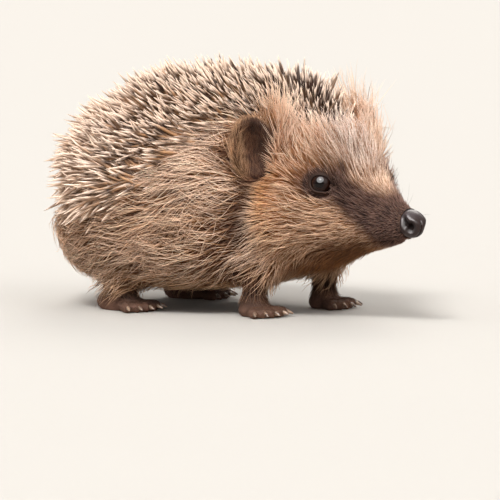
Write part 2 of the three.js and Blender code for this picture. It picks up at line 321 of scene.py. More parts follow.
@dataclass(frozen=True)
class EyeSeat:
    """Where an eye sits and where it looks."""

    side: Side
    ahead: float = 0.6
    out: float = 0.78
    lift: float = 0.12
    surroundings: float = 8 * MM
    far_away: float = 99.0

    @cached_property
    def centre(self) -> Array:
        """The middle of the eyeball."""
        return centre_of(f"eye_{self.side.label}")

    @cached_property
    def radius(self) -> float:
        """The eyeball's radius."""
        low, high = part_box(f"eye_{self.side.label}")
        return (high[2] - low[2]) / 2

    @cached_property
    def basis(self) -> Array:
        """Rows: towards the nose, upwards, and out along the line of sight.

        Returns:
            A matrix of three unit rows.
        """
        ahead = LINE.forward(np.zeros(1))[0]
        left = np.array([-ahead[1], ahead[0], 0.0])
        sight = unit(ahead * self.ahead + left * self.side.value * self.out + UP * self.lift)
        nose_wards = unit(ahead - sight * (ahead @ sight))
        upwards = unit(UP - sight * sight[2] - nose_wards * (UP @ nose_wards))
        return np.stack([nose_wards, upwards, sight])

    def local(self, points: Array) -> Array:
        """Points as seen from the eye: towards the nose, up and outwards, in metres."""
        return (points - self.centre) @ self.basis.T

    def span(self, points: Array) -> Array:
        """Distance of points from the line of sight, in millimetres, large away from the eye.

        Args:
            points: places.

        Returns:
            One distance for each.
        """
        near = self.local(points)
        aside = np.hypot(near[:, 0], near[:, 1]) / MM
        return np.where(np.abs(near[:, 2]) < self.surroundings, aside, self.far_away)


EYES = tuple(EyeSeat(side) for side in Side)


@dataclass(frozen=True)
class EarCup:
    """The hollow of an outer ear, which opens forwards and outwards."""

    side: Side
    at: float = 47.6 * MM
    left: float = 24.2 * MM
    height: float = 51.3 * MM
    ahead: float = 4.8 * MM
    turn: float = math.radians(30.0)
    radii: Triple = (7.4 * MM, 6.0 * MM, 9.3 * MM)
    lean: float = 0.3

    def local(self, points: Array) -> Array:
        """Points as shares of the hollow's radii: towards its opening, towards the forehead, and up.

        Args:
            points: places.

        Returns:
            Three shares for each.
        """
        angle = LINE.head_turn + self.side.value * self.turn
        opening = np.array([math.cos(angle), math.sin(angle), 0.0])
        across = np.array([-opening[1], opening[0], 0.0])
        middle = LINE.place(self.at, self.side.value * self.left, self.height) + opening * self.ahead
        rows = np.stack([opening, across * -self.side.value, UP])
        return (points - middle) @ rows.T / np.array(self.radii)

    def depth(self, points: Array) -> Array:
        """How deep points lie in the hollow: 0 in its middle, 1 at its wall."""
        return np.linalg.norm(self.local(points), axis=-1)

    def inwards(self, points: Array) -> Array:
        """How far points lie towards the forehead, from a line that leans with the ear."""
        return self.local(points) @ (0.0, 1.0, self.lean)


EARS = tuple(EarCup(side) for side in Side)


def in_ears(points: Array) -> tuple[Array, Array]:
    """Where points lie in the hollow of the nearer ear.

    Args:
        points: places, in metres.

    Returns:
        Their depth, 1 at the hollow's wall, and how far they lie inwards, as a share of the hollow's radius.
    """
    depths = np.stack([ear.depth(points) for ear in EARS])
    inner = np.stack([ear.inwards(points) for ear in EARS])
    nearer = depths.argmin(axis=0)[None]
    return np.take_along_axis(depths, nearer, 0)[0], np.take_along_axis(inner, nearer, 0)[0]


# ---- markings and painted shade, shared by skin and coat ----


class Tone(Enum):
    """Colours at the root and at the tip of the hair of one region."""

    FLANK = ("40200c", "ffdcc2")
    # the belly's own colour, also laid as painted shade along the middle of the flanks
    BELLY_AND_FLANK_SHADE = ("2c180b", "e4b892")
    CHEEK = ("5e3616", "fcd3b2")
    FOX = ("98541e", "ffc48c")
    FOREHEAD = ("8a562b", "ffdfc3")
    STREAK = ("74564a", "fbe8de")
    TEMPLE = ("a06c4c", "ffe0ca")
    MASK = ("1c0f0a", "88685c")
    # painted shade under the chin and down the throat
    THROAT_SHADE = ("24130a", "946238")
    # painted shade in the fold between cheek and shoulder
    CREASE = ("160a04", "6a4226")
    # hair in the ears' hollows: the ear's own brown, darkened with painted shade
    EAR = ("22120a", "b07e60")
    # painted shade deep in the ears' hollows
    EAR_PIT_SHADE = ("160a04", "704a34")
    EAR_BACK = ("46290f", "f2c49c")
    TAIL = ("3a2417", "b48e70")
    LIMB = ("2c1a11", "a67e64")

    @property
    def root(self) -> Array:
        """Colour at the root, as linear light."""
        return shade(self.value[0])

    @property
    def tip(self) -> Array:
        """Colour at the tip, as linear light."""
        return shade(self.value[1])


@dataclass(frozen=True)
class Markings:
    """The pattern of the animal: where spines grow, and the colour and depth of its coat everywhere,
    including painted shade.

    Stations are distances behind the nose; these, heights, widths and depths are in millimetres.
    """

    spine_edge: Profile = Profile(
        (33, 35.5, 38, 42.5, 53, 67, 73, 79, 85, 91, 98, 115, 125, 137),
        (100, 74, 66, 58, 46, 30, 18, 8, -2, -7, -10, -14, -8, 0),
    )
    spine_edge_width: Edge = Edge(-4.0, 4.0)
    muzzle_end: Profile = Profile((24, 28, 32, 36.5, 41), (14, 17, 21, 26, 30))
    muzzle_end_width: Edge = Edge(-3.5, 1.5)
    bridge: Profile = Profile((0, 8, 12, 17, 22, 28, 34), (60, 37.6, 37.3, 39.0, 41.0, 45.5, 52))
    bridge_width: Edge = Edge(-1.2, 1.0)
    eye_patch: Spot = (26.0, 40.0, 4.2)
    eye_ring: Spot = (29.3, 41.1, 4.7)
    eye_spot_width: Edge = Edge(0.22, 0.62)
    mask_end: Edge = Edge(33, 38)
    face_end: Edge = Edge(42, 50)
    forehead: Profile = Profile((0, 20, 32, 45), (39, 42, 44.5, 48))
    forehead_width: Edge = Edge(-3, 4)
    streak_line: Profile = Profile((8, 12, 17, 22, 28, 34), (38, 38.4, 40.6, 43.6, 48.6, 54))
    streak_width: float = 2.4
    streak_middle: Edge = Edge(17, 25)
    streak_end: Edge = Edge(30, 36)
    streak_shares: Pair = (0.3, 0.8)
    temple: Spot = (38.5, 51.0, 8.5)
    fox_at: Pair = (42.0, 4.2)
    fox_height: Pair = (37.5, 8.5)
    low_line: Profile = Profile((0, 20, 40, 60, 137), (20, 24, 19, 13, 12))
    low_width: Edge = Edge(-2, 5)
    # painted shade: a band along the middle of the flanks is darkened towards the belly's colour
    flank_shade_band: Pair = (31, 9)
    flank_start: Edge = Edge(54, 66)
    flank_shade_share: float = 0.35
    fold_line: Profile = Profile((26, 30, 36, 43), (54, 52, 48.4, 46.2))
    # how strongly painted shade darkens the fold
    crease_shade_share: float = 0.95
    fold_bottom: Edge = Edge(18, 25)
    fold_top: Edge = Edge(42, 47)
    side_depth: Profile = Profile((0, 5, 12, 20, 30, 42, 55), (0.55, 0.5, 0.8, 1.4, 2.6, 4.0, 4.8))
    above_depth: Profile = Profile((0, 5, 12, 20, 28, 36, 42, 50), (0.55, 0.2, 0.5, 1.5, 3.0, 5.0, 7.2, 8.5))
    above_angle: Edge = Edge(15, 50)
    belly_depth: float = 0.75
    belly_top: Edge = Edge(8, 20)
    spine_depth: float = 5.6
    spine_depth_behind: float = 4.6
    back_height: Edge = Edge(40, 64)
    rump_start: Edge = Edge(110, 130)
    part_depths: tuple[tuple[str, float], ...] = (("leg", 1.1), ("tail", 0.35), ("foot", -0.05), ("ear", 0.3))

    def within(self, chart: Chart) -> Array:
        """How many degrees round the body each point lies above the lower edge of the spines."""
        return chart.angle - self.spine_edge(chart.at)

    def spined(self, chart: Chart) -> Array:
        """How far each point lies inside the coat of spines, from 0 to 1."""
        off = np.maximum(chart.part("ear"), np.maximum(chart.part("leg"), chart.part("tail")))
        return self.spine_edge_width.past(self.within(chart)) * (1.0 - off)

    def mask(self, chart: Chart) -> Array:
        """The dark mask over the muzzle and from the nose to the eye.

        Args:
            chart: where the points are.

        Returns:
            One share for each point.
        """
        past_end = chart.at - self.muzzle_end(chart.height)
        over_bridge = chart.height - self.bridge(chart.at)
        muzzle = self.muzzle_end_width.before(past_end) * self.bridge_width.before(over_bridge)
        spots = np.maximum(chart.near(*self.eye_patch), chart.near(*self.eye_ring))
        return np.maximum(muzzle, self.eye_spot_width.past(spots)) * self.mask_end.before(chart.at)

    def shares(self, chart: Chart) -> list[tuple[Tone, Array]]:
        """How strongly each tone shows, in the order in which they cover each other.

        Args:
            chart: the places.

        Returns:
            Each tone with its share at each place.
        """
        face = self.face_end.before(chart.at)
        above = self.forehead_width.past(chart.height - self.forehead(chart.at))
        streak = bell(chart.height, self.streak_line(chart.at), self.streak_width)
        streak = streak * self.streak_end.before(chart.at)
        fox = np.exp(
            -(((chart.at - self.fox_at[0]) / self.fox_at[1]) ** 2)
            - ((chart.height - self.fox_height[0]) / self.fox_height[1]) ** 2
        )
        low = self.low_width.before(chart.height - self.low_line(chart.at))
        # painted shade along the middle of the flanks
        flank = bell(chart.height, *self.flank_shade_band) * self.flank_start.past(chart.at)
        return [
            (Tone.BELLY_AND_FLANK_SHADE, np.maximum(low, self.flank_shade_share * flank) * (1 - face)),
            (Tone.CHEEK, face),
            (Tone.FOREHEAD, face * above),
            (Tone.TEMPLE, face * chart.near(*self.temple)),
            (Tone.FOX, face * fox),
            (Tone.STREAK, face * streak * mix(*self.streak_shares, self.streak_middle.past(chart.at))),
            # painted shade under the head
            (Tone.THROAT_SHADE, low * face),
            (Tone.MASK, self.mask(chart)),
            (Tone.CREASE, self.crease_shade_share * self.crease(chart)),
            (Tone.LIMB, chart.part("leg")),
            (Tone.TAIL, chart.part("tail")),
            (Tone.LIMB, chart.part("foot")),
            (Tone.EAR_BACK, chart.part("ear")),
            # the ear's own brown in the hollows, darkened with painted shade
            (Tone.EAR, chart.part("cup")),
            # painted shade deep in the ears' hollows
            (Tone.EAR_PIT_SHADE, chart.part("pit")),
        ]

    def tones(self, chart: Chart) -> tuple[Array, Array]:
        """Hair colours.

        Args:
            chart: where the hairs grow.

        Returns:
            The colours at the roots and at the tips, as linear light.
        """
        shares = self.shares(chart)
        every = np.ones((len(chart.at), 1))
        root = layered(every * Tone.FLANK.root, [(tone.root, share) for tone, share in shares])
        tip = layered(every * Tone.FLANK.tip, [(tone.tip, share) for tone, share in shares])
        return root, tip

    def crease(self, chart: Chart, ahead: float = 0.0, width: float = 2.8) -> Array:
        """The fold between cheek and shoulder, where the hair parts and the coat's colour is darkened as
        painted shade.

        Args:
            chart: the places.
            ahead: how far in front of the fold to look, in millimetres.
            width: how wide the fold is taken to be, in millimetres.

        Returns:
            A share from 0 to 1.
        """
        fold = bell(chart.at, self.fold_line(chart.height) - ahead, width)
        return fold * self.fold_bottom.past(chart.height) * self.fold_top.before(chart.height)

    def depth(self, chart: Chart) -> Array:
        """How far the skin lies below the outside of the coat, in millimetres.

        Args:
            chart: where the points are.

        Returns:
            One depth for each point.
        """
        above = self.above_angle.past(chart.angle)
        plain = mix(self.side_depth(chart.at), self.above_depth(chart.at), above)
        plain = mix(plain, plain * self.belly_depth, self.belly_top.before(chart.height))
        behind = np.maximum(self.back_height.past(chart.height), self.rump_start.past(chart.at))
        spines = self.spine_depth + self.spine_depth_behind * behind
        depth = mix(plain, spines, self.spined(chart))
        for part, thin in self.part_depths:
            depth = mix(depth, np.full_like(depth, thin), chart.part(part))
        return depth


MARKINGS = Markings()


# ---- finishes ----


def new_material(
    name: str, roughness: float, specular: float = 0.5
) -> tuple[bpy.types.Material, bpy.types.ShaderNode]:
    """Starts a material with one shader.

    Args:
        name: the material's name.
        roughness: how rough it is.
        specular: how strongly it shines.

    Returns:
        The material and its shader.
    """
    made = bpy.data.materials.new(name)
    made.use_nodes = True
    shader = made.node_tree.nodes["Principled BSDF"]
    shader.inputs["Roughness"].default_value = roughness
    shader.inputs["Specular IOR Level"].default_value = specular
    return made, shader


def add_relief(
    shader: bpy.types.ShaderNode, height: bpy.types.NodeSocket, strength: float, rise: float
) -> None:
    """Gives a shader fine relief.

    Args:
        shader: the shader.
        height: where the height comes from.
        strength: how strongly the relief shows.
        rise: how high it stands, in metres.
    """
    tree = shader.id_data
    relief = tree.nodes.new("ShaderNodeBump")
    relief.inputs["Strength"].default_value = strength
    relief.inputs["Distance"].default_value = rise
    tree.links.new(height, relief.inputs["Height"])
    tree.links.new(relief.outputs["Normal"], shader.inputs["Normal"])


@dataclass(frozen=True)
class Finish:
    """A surface finish: the plain numbers of its shader, and the grain of its tint and relief.

    The base colour comes from the colour attribute that the piece carries, and where the finish is wet, so
    does the roughness.
    """

    name: str
    roughness: float
    specular: float = 0.5
    grain: float = 0.0
    bump: float = 0.0
    uneven: float = 0.0
    cells: bool = False
    wet: bool = False
    rise_of_grain: float = 0.4
    blotch_scale: float = 420.0
    blotch_detail: float = 4.0

    def material(self) -> bpy.types.Material:
        """Builds the material, or finds it where it is already built.

        Returns:
            The material.
        """
        known = bpy.data.materials.get(self.name)
        if known:
            return known
        made, shader = new_material(self.name, self.roughness, self.specular)
        nodes, links = made.node_tree.nodes, made.node_tree.links
        tint = nodes.new("ShaderNodeAttribute")
        tint.attribute_name = TINT
        place = nodes.new("ShaderNodeTexCoord").outputs["Object"]
        blotch = nodes.new("ShaderNodeTexNoise")
        blotch.inputs["Scale"].default_value = self.blotch_scale
        blotch.inputs["Detail"].default_value = self.blotch_detail
        links.new(place, blotch.inputs["Vector"])
        level = nodes.new("ShaderNodeMapRange")
        level.inputs["To Min"].default_value = 1.0 - self.uneven
        level.inputs["To Max"].default_value = 1.0 + self.uneven
        links.new(blotch.outputs["Fac"], level.inputs["Value"])
        tinted = nodes.new("ShaderNodeVectorMath")
        tinted.operation = "SCALE"
        links.new(tint.outputs["Color"], tinted.inputs["Vector"])
        links.new(level.outputs["Result"], tinted.inputs["Scale"])
        links.new(tinted.outputs["Vector"], shader.inputs["Base Color"])
        if self.wet:
            wetness = nodes.new("ShaderNodeAttribute")
            wetness.attribute_name = WETNESS
            links.new(wetness.outputs["Fac"], shader.inputs["Roughness"])
        if self.bump:
            grain = nodes.new("ShaderNodeTexVoronoi" if self.cells else "ShaderNodeTexNoise")
            grain.inputs["Scale"].default_value = 1.0 / self.grain
            links.new(place, grain.inputs["Vector"])
            add_relief(shader, grain.outputs[0], self.bump, self.grain * self.rise_of_grain)
        return made


SKIN_FINISH = Finish("skin_under_the_coat", 0.78, 0.1, grain=0.5 * MM, bump=0.5, uneven=0.18)
NOSE_FINISH = Finish(
    "wet_nose_pad", 0.38, 0.34, grain=0.36 * MM, bump=0.16, uneven=0.12, cells=True, wet=True
)
NOSTRIL_FINISH = Finish("nostril_hollow", 0.85, 0.08, uneven=0.15)
EYE_FINISH = Finish("wet_eye", 0.05, 0.2, uneven=0.05)
HAIR_FINISH = Finish("hair", 0.6, 0.14, uneven=0.1)
SPINE_FINISH = Finish("spine_keratin", 0.5, 0.18, uneven=0.08)


def paint(obj: Piece, colours: Array) -> None:
    """Stores one colour for each vertex.

    Args:
        obj: the piece.
        colours: linear red, green and blue for each vertex.
    """
    layer = obj.data.color_attributes.new(TINT, "FLOAT_COLOR", "POINT")
    rgba = np.ones((len(colours), 4), np.float32)
    rgba[:, :3] = colours
    layer.data.foreach_set("color", rgba.ravel())


def finished(obj: Piece, slot: str, finish: Finish) -> Piece:
    """Gives a piece its finish and the body it rides on, and reports it.

    Args:
        obj: the piece.
        slot: the record's material slot; not used.
        finish: what its surface is like.

    Returns:
        The same piece.
    """
    obj.data.materials.clear()
    obj.data.materials.append(finish.material())
    obj.data.polygons.foreach_set("use_smooth", np.ones(len(obj.data.polygons), bool))
    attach(obj, ROOT_BODY)
    obj.data.calc_loop_triangles()
    LOG.info("%s: %d triangles", obj.name, len(obj.data.loop_triangles))
    return obj


def new_piece(name: str, mesh: bpy.types.Mesh) -> Piece:
    """A new object at the origin that shows a mesh.

    Args:
        name: its name.
        mesh: what it shows.

    Returns:
        The object.
    """
    obj = bpy.data.objects.new(name, mesh)
    bpy.context.scene.collection.objects.link(obj)
    return obj


def taken(bm: bmesh.types.BMesh, name: str) -> bpy.types.Mesh:
    """Takes a new mesh out of an edited one, which is freed.

    Args:
        bm: the edited mesh.
        name: the new mesh's name.

    Returns:
        The new mesh.
    """
    mesh = bpy.data.meshes.new(name)
    bm.to_mesh(mesh)
    bm.free()
    return mesh


def sphere(name: str, around: int, over: int, tilt: float = 0.0) -> bpy.types.Mesh:
    """A sphere of radius 1.

    Args:
        name: the mesh's name.
        around: how many faces there are around it.
        over: how many there are from pole to pole.
        tilt: how far the poles are turned from up towards the front, in radians.

    Returns:
        The mesh.
    """
    bm = bmesh.new()
    bmesh.ops.create_uvsphere(bm, u_segments=around, v_segments=over, radius=1.0)
    if tilt:
        bmesh.ops.rotate(bm, verts=bm.verts, matrix=Matrix.Rotation(tilt, 3, "Y"))
    return taken(bm, name)


def read(items: bpy.types.bpy_prop_collection, name: str, width: int, kind: type = np.float32) -> Array:
    """Reads one property of every item.

    Args:
        items: the items.
        name: the property.
        width: how many numbers it has.
        kind: what kind of numbers they are.

    Returns:
        One row for each item.
    """
    values = np.empty(len(items) * width, kind)
    items.foreach_get(name, values)
    return values.reshape(-1, width)


def coordinates(mesh: bpy.types.Mesh) -> Array:
    """The places of a mesh's vertices."""
    return read(mesh.vertices, "co", 3).astype(float)


def vertex_normals(mesh: bpy.types.Mesh) -> Array:
    """The normals of a mesh's vertices."""
    return read(mesh.vertex_normals, "vector", 3).astype(float)


def reshape(mesh: bpy.types.Mesh, co: Array) -> None:
    """Moves a mesh's vertices to new places."""
    mesh.vertices.foreach_set("co", co.astype(np.float32).ravel())
    mesh.update()


def relax(mesh: bpy.types.Mesh, co: Array, rounds: int, share: Array | float = 0.5) -> Array:
    """Smooths places by moving each towards the mean of its neighbours.

    Args:
        mesh: gives the edges.
        co: the places.
        rounds: how often.
        share: how far, one number or one for each vertex.

    Returns:
        The smoothed places.
    """
    a, b = read(mesh.edges, "vertices", 2, np.int32).T
    count = len(co)
    degree = np.maximum(np.bincount(a, minlength=count) + np.bincount(b, minlength=count), 1)
    share = np.asarray(share).reshape(-1, 1)

    def gathered(values: Array) -> Array:
        """The sum of a value over the neighbours of each vertex."""
        return np.bincount(a, values[b], count) + np.bincount(b, values[a], count)

    for _ in range(rounds):
        mean = np.stack([gathered(co[:, k]) for k in range(3)], axis=1)
        co = mix(co, mean / degree[:, None], share)
    return co


# ---- skin ----


PART_NODES = {
    "ear": ("ear_left", "ear_right"),
    "leg": ("foreleg_left", "foreleg_right", "hindleg_left", "hindleg_right"),
    "foot": ("forefoot_left", "forefoot_right", "hindfoot_left", "hindfoot_right"),
    "tail": ("tail",),
}
FLESH = ("head", "lower_jaw", "neck", "trunk") + tuple(n for nodes in PART_NODES.values() for n in nodes)


@dataclass(frozen=True)
class EarZones:
    """What lies in and round the hollow of an ear, by its depth and by how far inwards it is."""

    wall: Edge = Edge(1.0, 1.12)
    cup: Edge = Edge(1.06, 1.2)
    cup_inwards: Edge = Edge(-0.75, -0.3)
    pit_inwards: Edge = Edge(-0.8, 0.6)
    beside: Edge = Edge(1.0, 7.0)
    depth_unit: float = 7.0

    def parts(self, points: Array, ear: Array, gap: Array) -> dict[str, Array]:
        """How much points belong to the ears and what is in and round them.

        Args:
            points: places, in metres.
            ear: how much they belong to the ears' solids.
            gap: how far they lie from these, in millimetres.

        Returns:
            A share from 0 to 1 for each part.
        """
        hollow, inner = in_ears(points)
        cup = self.cup.before(hollow) * self.cup_inwards.past(inner)
        return {
            "ear": np.maximum(ear, self.wall.before(hollow)),
            "cup": cup,
            # the pit is the deepest part of the hollow, where the coat's colour is darkened as painted shade
            "pit": cup * self.pit_inwards.past(inner),
            "beside_ear": self.beside.before(np.minimum(gap, (hollow - 1) * self.depth_unit)),
        }


def parts_of(points: Array, trees: dict[str, BVHTree], edge: Edge) -> dict[str, Array]:
    """How much points belong to ears, legs, feet and tail, by their distance from the solids.

    Args:
        points: places, in metres.
        trees: a search tree for each part.
        edge: the distances between which a point ceases to belong to a part, in millimetres.

    Returns:
        A share from 0 to 1 for each part, and for what is in and round the ears' hollows.
    """
    parts = {}
    for part, tree in trees.items():
        gap = np.array([tree.find_nearest(p)[3] for p in points]) / MM
        parts[part] = edge.before(gap)
        if part == "ear":
            parts |= EarZones().parts(points, parts[part], gap)
    parts["leg"] = parts["leg"] * (1 - parts["foot"])
    return parts


class Bare(Enum):
    """Colours of the naked skin, with painted shade in the ears' hollows and painted glints at the lids."""

    SPINED = "1e130d"
    FOOT = "5a4237"
    TOE = "7a5a4c"
    TAIL = "6a4c3c"
    EAR = "54392b"
    # skin in the ears' hollows, darker with painted shade
    EAR_CUP_SHADE = "35211a"
    ORBIT = "2c190f"
    LID_EDGE = "0c0807"
    # painted glint on the wet lower lid and at the eye's front corner
    LID_RIM_GLINT = "84695c"

    @property
    def colour(self) -> Array:
        """The colour as linear light."""
        return shade(self.value)


@dataclass(frozen=True)
class Lids:
    """The lids round one eye. Lengths are in millimetres; turns are in radians, with 0 towards the nose."""

    eye: EyeSeat
    opening: float = 2.85
    narrowing: float = 0.6
    corner: float = 0.5
    corner_turn: float = 0.5
    corner_power: int = 8
    rise: float = 0.38
    thickness: float = 0.25
    face_level: float = 0.35
    face_curve: float = 50.0
    face_edge: Edge = Edge(0.25, 2.6)
    opening_edge: Edge = Edge(-0.12, 0.16)
    behind_ball: float = 0.7
    reach: Edge = Edge(4.0, 6.8)
    reach_along_sight: float = 6
    upper_fold: float = 1.05
    upper_fold_turn: Edge = Edge(-0.3, 0.5)
    upper_fold_least: float = 0.4
    rear_fold: float = 1.9
    rear_fold_turn: Edge = Edge(-0.6, 0.3)
    rear_fold_share: float = 0.7
    fold_width: float = 0.2
    fold_depth: float = 0.18
    dark_skin: Edge = Edge(4.4, 6.2)
    dark_edge: Edge = Edge(0.0, 0.5)
    # painted glints: a pale line along the lower lid and a bright spot at the front corner
    rim_glint: Pair = (0.3, 0.17)
    rim_glint_turn: Edge = Edge(-0.25, 0.35)
    rim_glint_share: float = 0.17
    tear_glint: Pair = (0.1, 0.35)
    tear_glint_turn: Pair = (0.45, 0.22)
    tear_glint_share: float = 0.9

    def gap(self, points: Array) -> tuple[Array, Array]:
        """How far points lie outside the opening of the lids, and in which direction.

        Args:
            points: places, in metres.

        Returns:
            The distances, large away from the eye, and the turns.
        """
        near = self.eye.local(points)
        turn = np.arctan2(near[:, 1], near[:, 0])
        corner = np.maximum(np.cos(turn + self.corner_turn), 0.0) ** self.corner_power
        opening = self.opening + self.corner * corner - self.narrowing * np.sin(turn) ** 2
        return self.eye.span(points) - opening, turn

    def folds(self, beyond: Array, turn: Array) -> Array:
        """How deep the folds of the lids are, as a share of their depth.

        Args:
            beyond: distances outside the opening.
            turn: the turns.

        Returns:
            One share for each point.
        """
        above = self.upper_fold_least + (1 - self.upper_fold_least) * self.upper_fold_turn.past(np.sin(turn))
        behind = self.rear_fold_turn.past(-np.cos(turn))
        upper = bell(beyond, self.upper_fold, self.fold_width) * above
        return upper + self.rear_fold_share * bell(beyond, self.rear_fold, self.fold_width) * behind

    def raised(self, co: Array) -> Array:
        """Raises the lids and hides the skin behind the eyeball.

        Args:
            co: places of the skin's vertices.

        Returns:
            The changed places.
        """
        near = self.eye.local(co) / MM
        gap, turn = self.gap(co)
        aside = np.hypot(near[:, 0], near[:, 1])
        opening = aside - gap
        beyond = aside - opening
        ball = self.eye.radius / MM
        dome = np.sqrt(np.maximum(ball**2 - np.minimum(aside, ball * 0.995) ** 2, 0.0))
        top = ball**2 - np.minimum(opening + self.thickness, ball * 0.99) ** 2
        crest = np.sqrt(np.maximum(top, 0.0)) + self.rise
        face = self.face_level - aside**2 / self.face_curve
        slope = mix(crest, face, self.face_edge.past(beyond))
        slope = slope - self.fold_depth * self.folds(beyond, turn)
        height = mix(dome - self.behind_ball, slope, self.opening_edge.past(beyond))
        share = self.reach.before(aside) * (np.abs(near[:, 2]) < self.reach_along_sight)
        near[:, 2] = mix(near[:, 2], height, share)
        moved = near * MM @ self.eye.basis + self.eye.centre
        return np.where(share[:, None] > 0, moved, co)

    def tints(self, points: Array) -> list[tuple[Array, Array]]:
        """Colours round the eye: dark skin, the black edge of the lids, and painted glints on the lower rim
        and at the front corner.

        Args:
            points: places, in metres.

        Returns:
            Each colour with its share at each place.
        """
        gap, turn = self.gap(points)
        rim_glint = bell(gap, *self.rim_glint) * self.rim_glint_turn.past(-np.sin(turn))
        beyond = (gap - self.tear_glint[0]) / self.tear_glint[1]
        tear_glint = np.exp(-(beyond**2) - ((turn + self.tear_glint_turn[0]) / self.tear_glint_turn[1]) ** 2)
        return [
            (Bare.ORBIT.colour, self.dark_skin.before(self.eye.span(points))),
            (Bare.LID_EDGE.colour, self.dark_edge.before(gap)),
            (Bare.LID_RIM_GLINT.colour, np.maximum(self.rim_glint_share * rim_glint, self.tear_glint_share * tear_glint)),
        ]


@dataclass
class Skin:
    """One closed skin for the whole body, below the coat, with lids, mouth and nose seat."""

    swell: float = 0.3 * MM
    weld: float = 0.001 * MM
    voxel: float = 0.75 * MM
    sink_steps: int = 6
    depth_rounds: int = 14
    part_edge: Edge = Edge(0.6, 2.0)
    sinking_part_edge: Edge = Edge(0.6, 4.5)
    foot_top: Edge = Edge(5.0, 9.0)
    eye_clearance: Edge = Edge(4.0, 7.5)
    deep: Edge = Edge(3.0, 8.0)
    deep_share: float = 0.7
    fine_round_eyes: tuple[float, ...] = (7.0, 5.2)
    fine_muzzle: float = 24
    fine_feet: float = 5.5
    mouth: Profile = Profile((3, 20), (25.4, 24.4))
    mouth_width: float = 0.42
    mouth_depth: float = 0.55
    mouth_start: Edge = Edge(2.5, 5)
    mouth_end: Edge = Edge(17, 21)
    seat_back: float = -0.8 * MM
    seat_reach: float = 7 * MM
    seat_flatness: float = 0.9
    toe_top: Edge = Edge(1.5, 4.5)
    root_share: float = 0.75
    mesh: bpy.types.Mesh = None
    trees: dict[str, BVHTree] = field(default_factory=dict)

    def build(self) -> Piece:
        """Makes the skin out of the solids of flesh and dresses it.

        Returns:
            The finished piece.
        """
        self.trees = {part: self.tree_of(nodes) for part, nodes in PART_NODES.items()}
        self.mesh = self.remeshed(self.joined())
        self.sink()
        self.mesh = self.remeshed(self.mesh)
        self.refine()
        self.sculpt()
        obj = new_piece("skin", self.mesh)
        self.unwrap(obj)
        paint(obj, self.colours())
        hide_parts(*FLESH)
        return finished(obj, "fur", SKIN_FINISH)

    def tree_of(self, nodes: tuple[str, ...]) -> BVHTree:
        """A search tree over the surfaces of some solids.

        Args:
            nodes: the solids' names.

        Returns:
            The tree.
        """
        verts, faces = [], []
        for node in nodes:
            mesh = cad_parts[node].data
            start = len(verts)
            verts.extend(v.co.copy() for v in mesh.vertices)
            faces.extend([start + i for i in p.vertices] for p in mesh.polygons)
        return BVHTree.FromPolygons(verts, faces)

    def chart(self, edge: Edge) -> Chart:
        """Measures the skin's vertices, with how much each belongs to ears, legs, feet and tail."""
        co = coordinates(self.mesh)
        return LINE.chart(co, parts_of(co, self.trees, edge))

    def freedom(self, co: Array, share: float, hold: float) -> Array:
        """How far vertices move when they are smoothed: a share, and less of it at the feet."""
        return share * (1 - hold * self.foot_top.before(co[:, 2] / MM))

    def joined(self) -> bpy.types.Mesh:
        """The solids of flesh in one mesh, swollen until they overlap.

        Returns:
            The mesh.
        """
        bm = bmesh.new()
        for node in (*FLESH, "nose"):
            bm.from_mesh(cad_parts[node].data)
        bmesh.ops.remove_doubles(bm, verts=bm.verts, dist=self.weld)
        bm.normal_update()
        for vert in bm.verts:
            vert.co += vert.normal * self.swell
        return taken(bm, "flesh")

    def remeshed(self, mesh: bpy.types.Mesh) -> bpy.types.Mesh:
        """The same shape as one even mesh.

        Args:
            mesh: overlapping solids.

        Returns:
            The new mesh.
        """
        carrier = new_piece("remesh_carrier", mesh)
        change = carrier.modifiers.new("even", "REMESH")
        change.mode = "VOXEL"
        change.voxel_size = self.voxel
        graph = bpy.context.evaluated_depsgraph_get()
        even = bpy.data.meshes.new_from_object(carrier.evaluated_get(graph))
        bpy.data.objects.remove(carrier)
        even.name = "skin"
        return even

    def sink(self) -> None:
        """Lowers the surface from the outside of the coat to the skin."""
        co = coordinates(self.mesh)
        free = self.freedom(co, 0.5, 0.85)
        co = relax(self.mesh, co, 2, free)
        reshape(self.mesh, co)
        depth = MARKINGS.depth(self.chart(self.sinking_part_edge)) * MM
        for eye in EYES:
            depth *= self.eye_clearance.past(eye.span(co))
        depth = relax(self.mesh, np.repeat(depth[:, None], 3, axis=1), self.depth_rounds)[:, :1]
        deep = self.deep.past(depth[:, 0] / MM)
        for _ in range(self.sink_steps):
            co = co - vertex_normals(self.mesh) * depth / self.sink_steps
            co = relax(self.mesh, relax(self.mesh, co, 1, free), 3, self.deep_share * deep)
            reshape(self.mesh, co)

    def refine(self) -> None:
        """Makes the mesh finer at the eyes, the muzzle and the feet, and finer still at the lids."""
        bm = bmesh.new()
        bm.from_mesh(self.mesh)
        for level, reach in enumerate(self.fine_round_eyes):
            co = np.array([v.co for v in bm.verts])
            wanted = np.zeros(len(co), bool)
            for eye in EYES:
                wanted |= eye.span(co) < reach
            if level == 0:
                chart = LINE.chart(co)
                wanted |= (chart.at < self.fine_muzzle) | (chart.height < self.fine_feet)
            bm.edges.ensure_lookup_table()
            edges = [e for e in bm.edges if wanted[e.verts[0].index] and wanted[e.verts[1].index]]
            bmesh.ops.subdivide_edges(bm, edges=edges, cuts=1, use_grid_fill=True)
            bm.verts.index_update()
            bm.verts.ensure_lookup_table()
        bmesh.ops.triangulate(bm, faces=[f for f in bm.faces if len(f.verts) > 4])
        bm.to_mesh(self.mesh)
        bm.free()
        co = coordinates(self.mesh)
        reshape(self.mesh, relax(self.mesh, co, 2, self.freedom(co, 0.4, 0.6)))

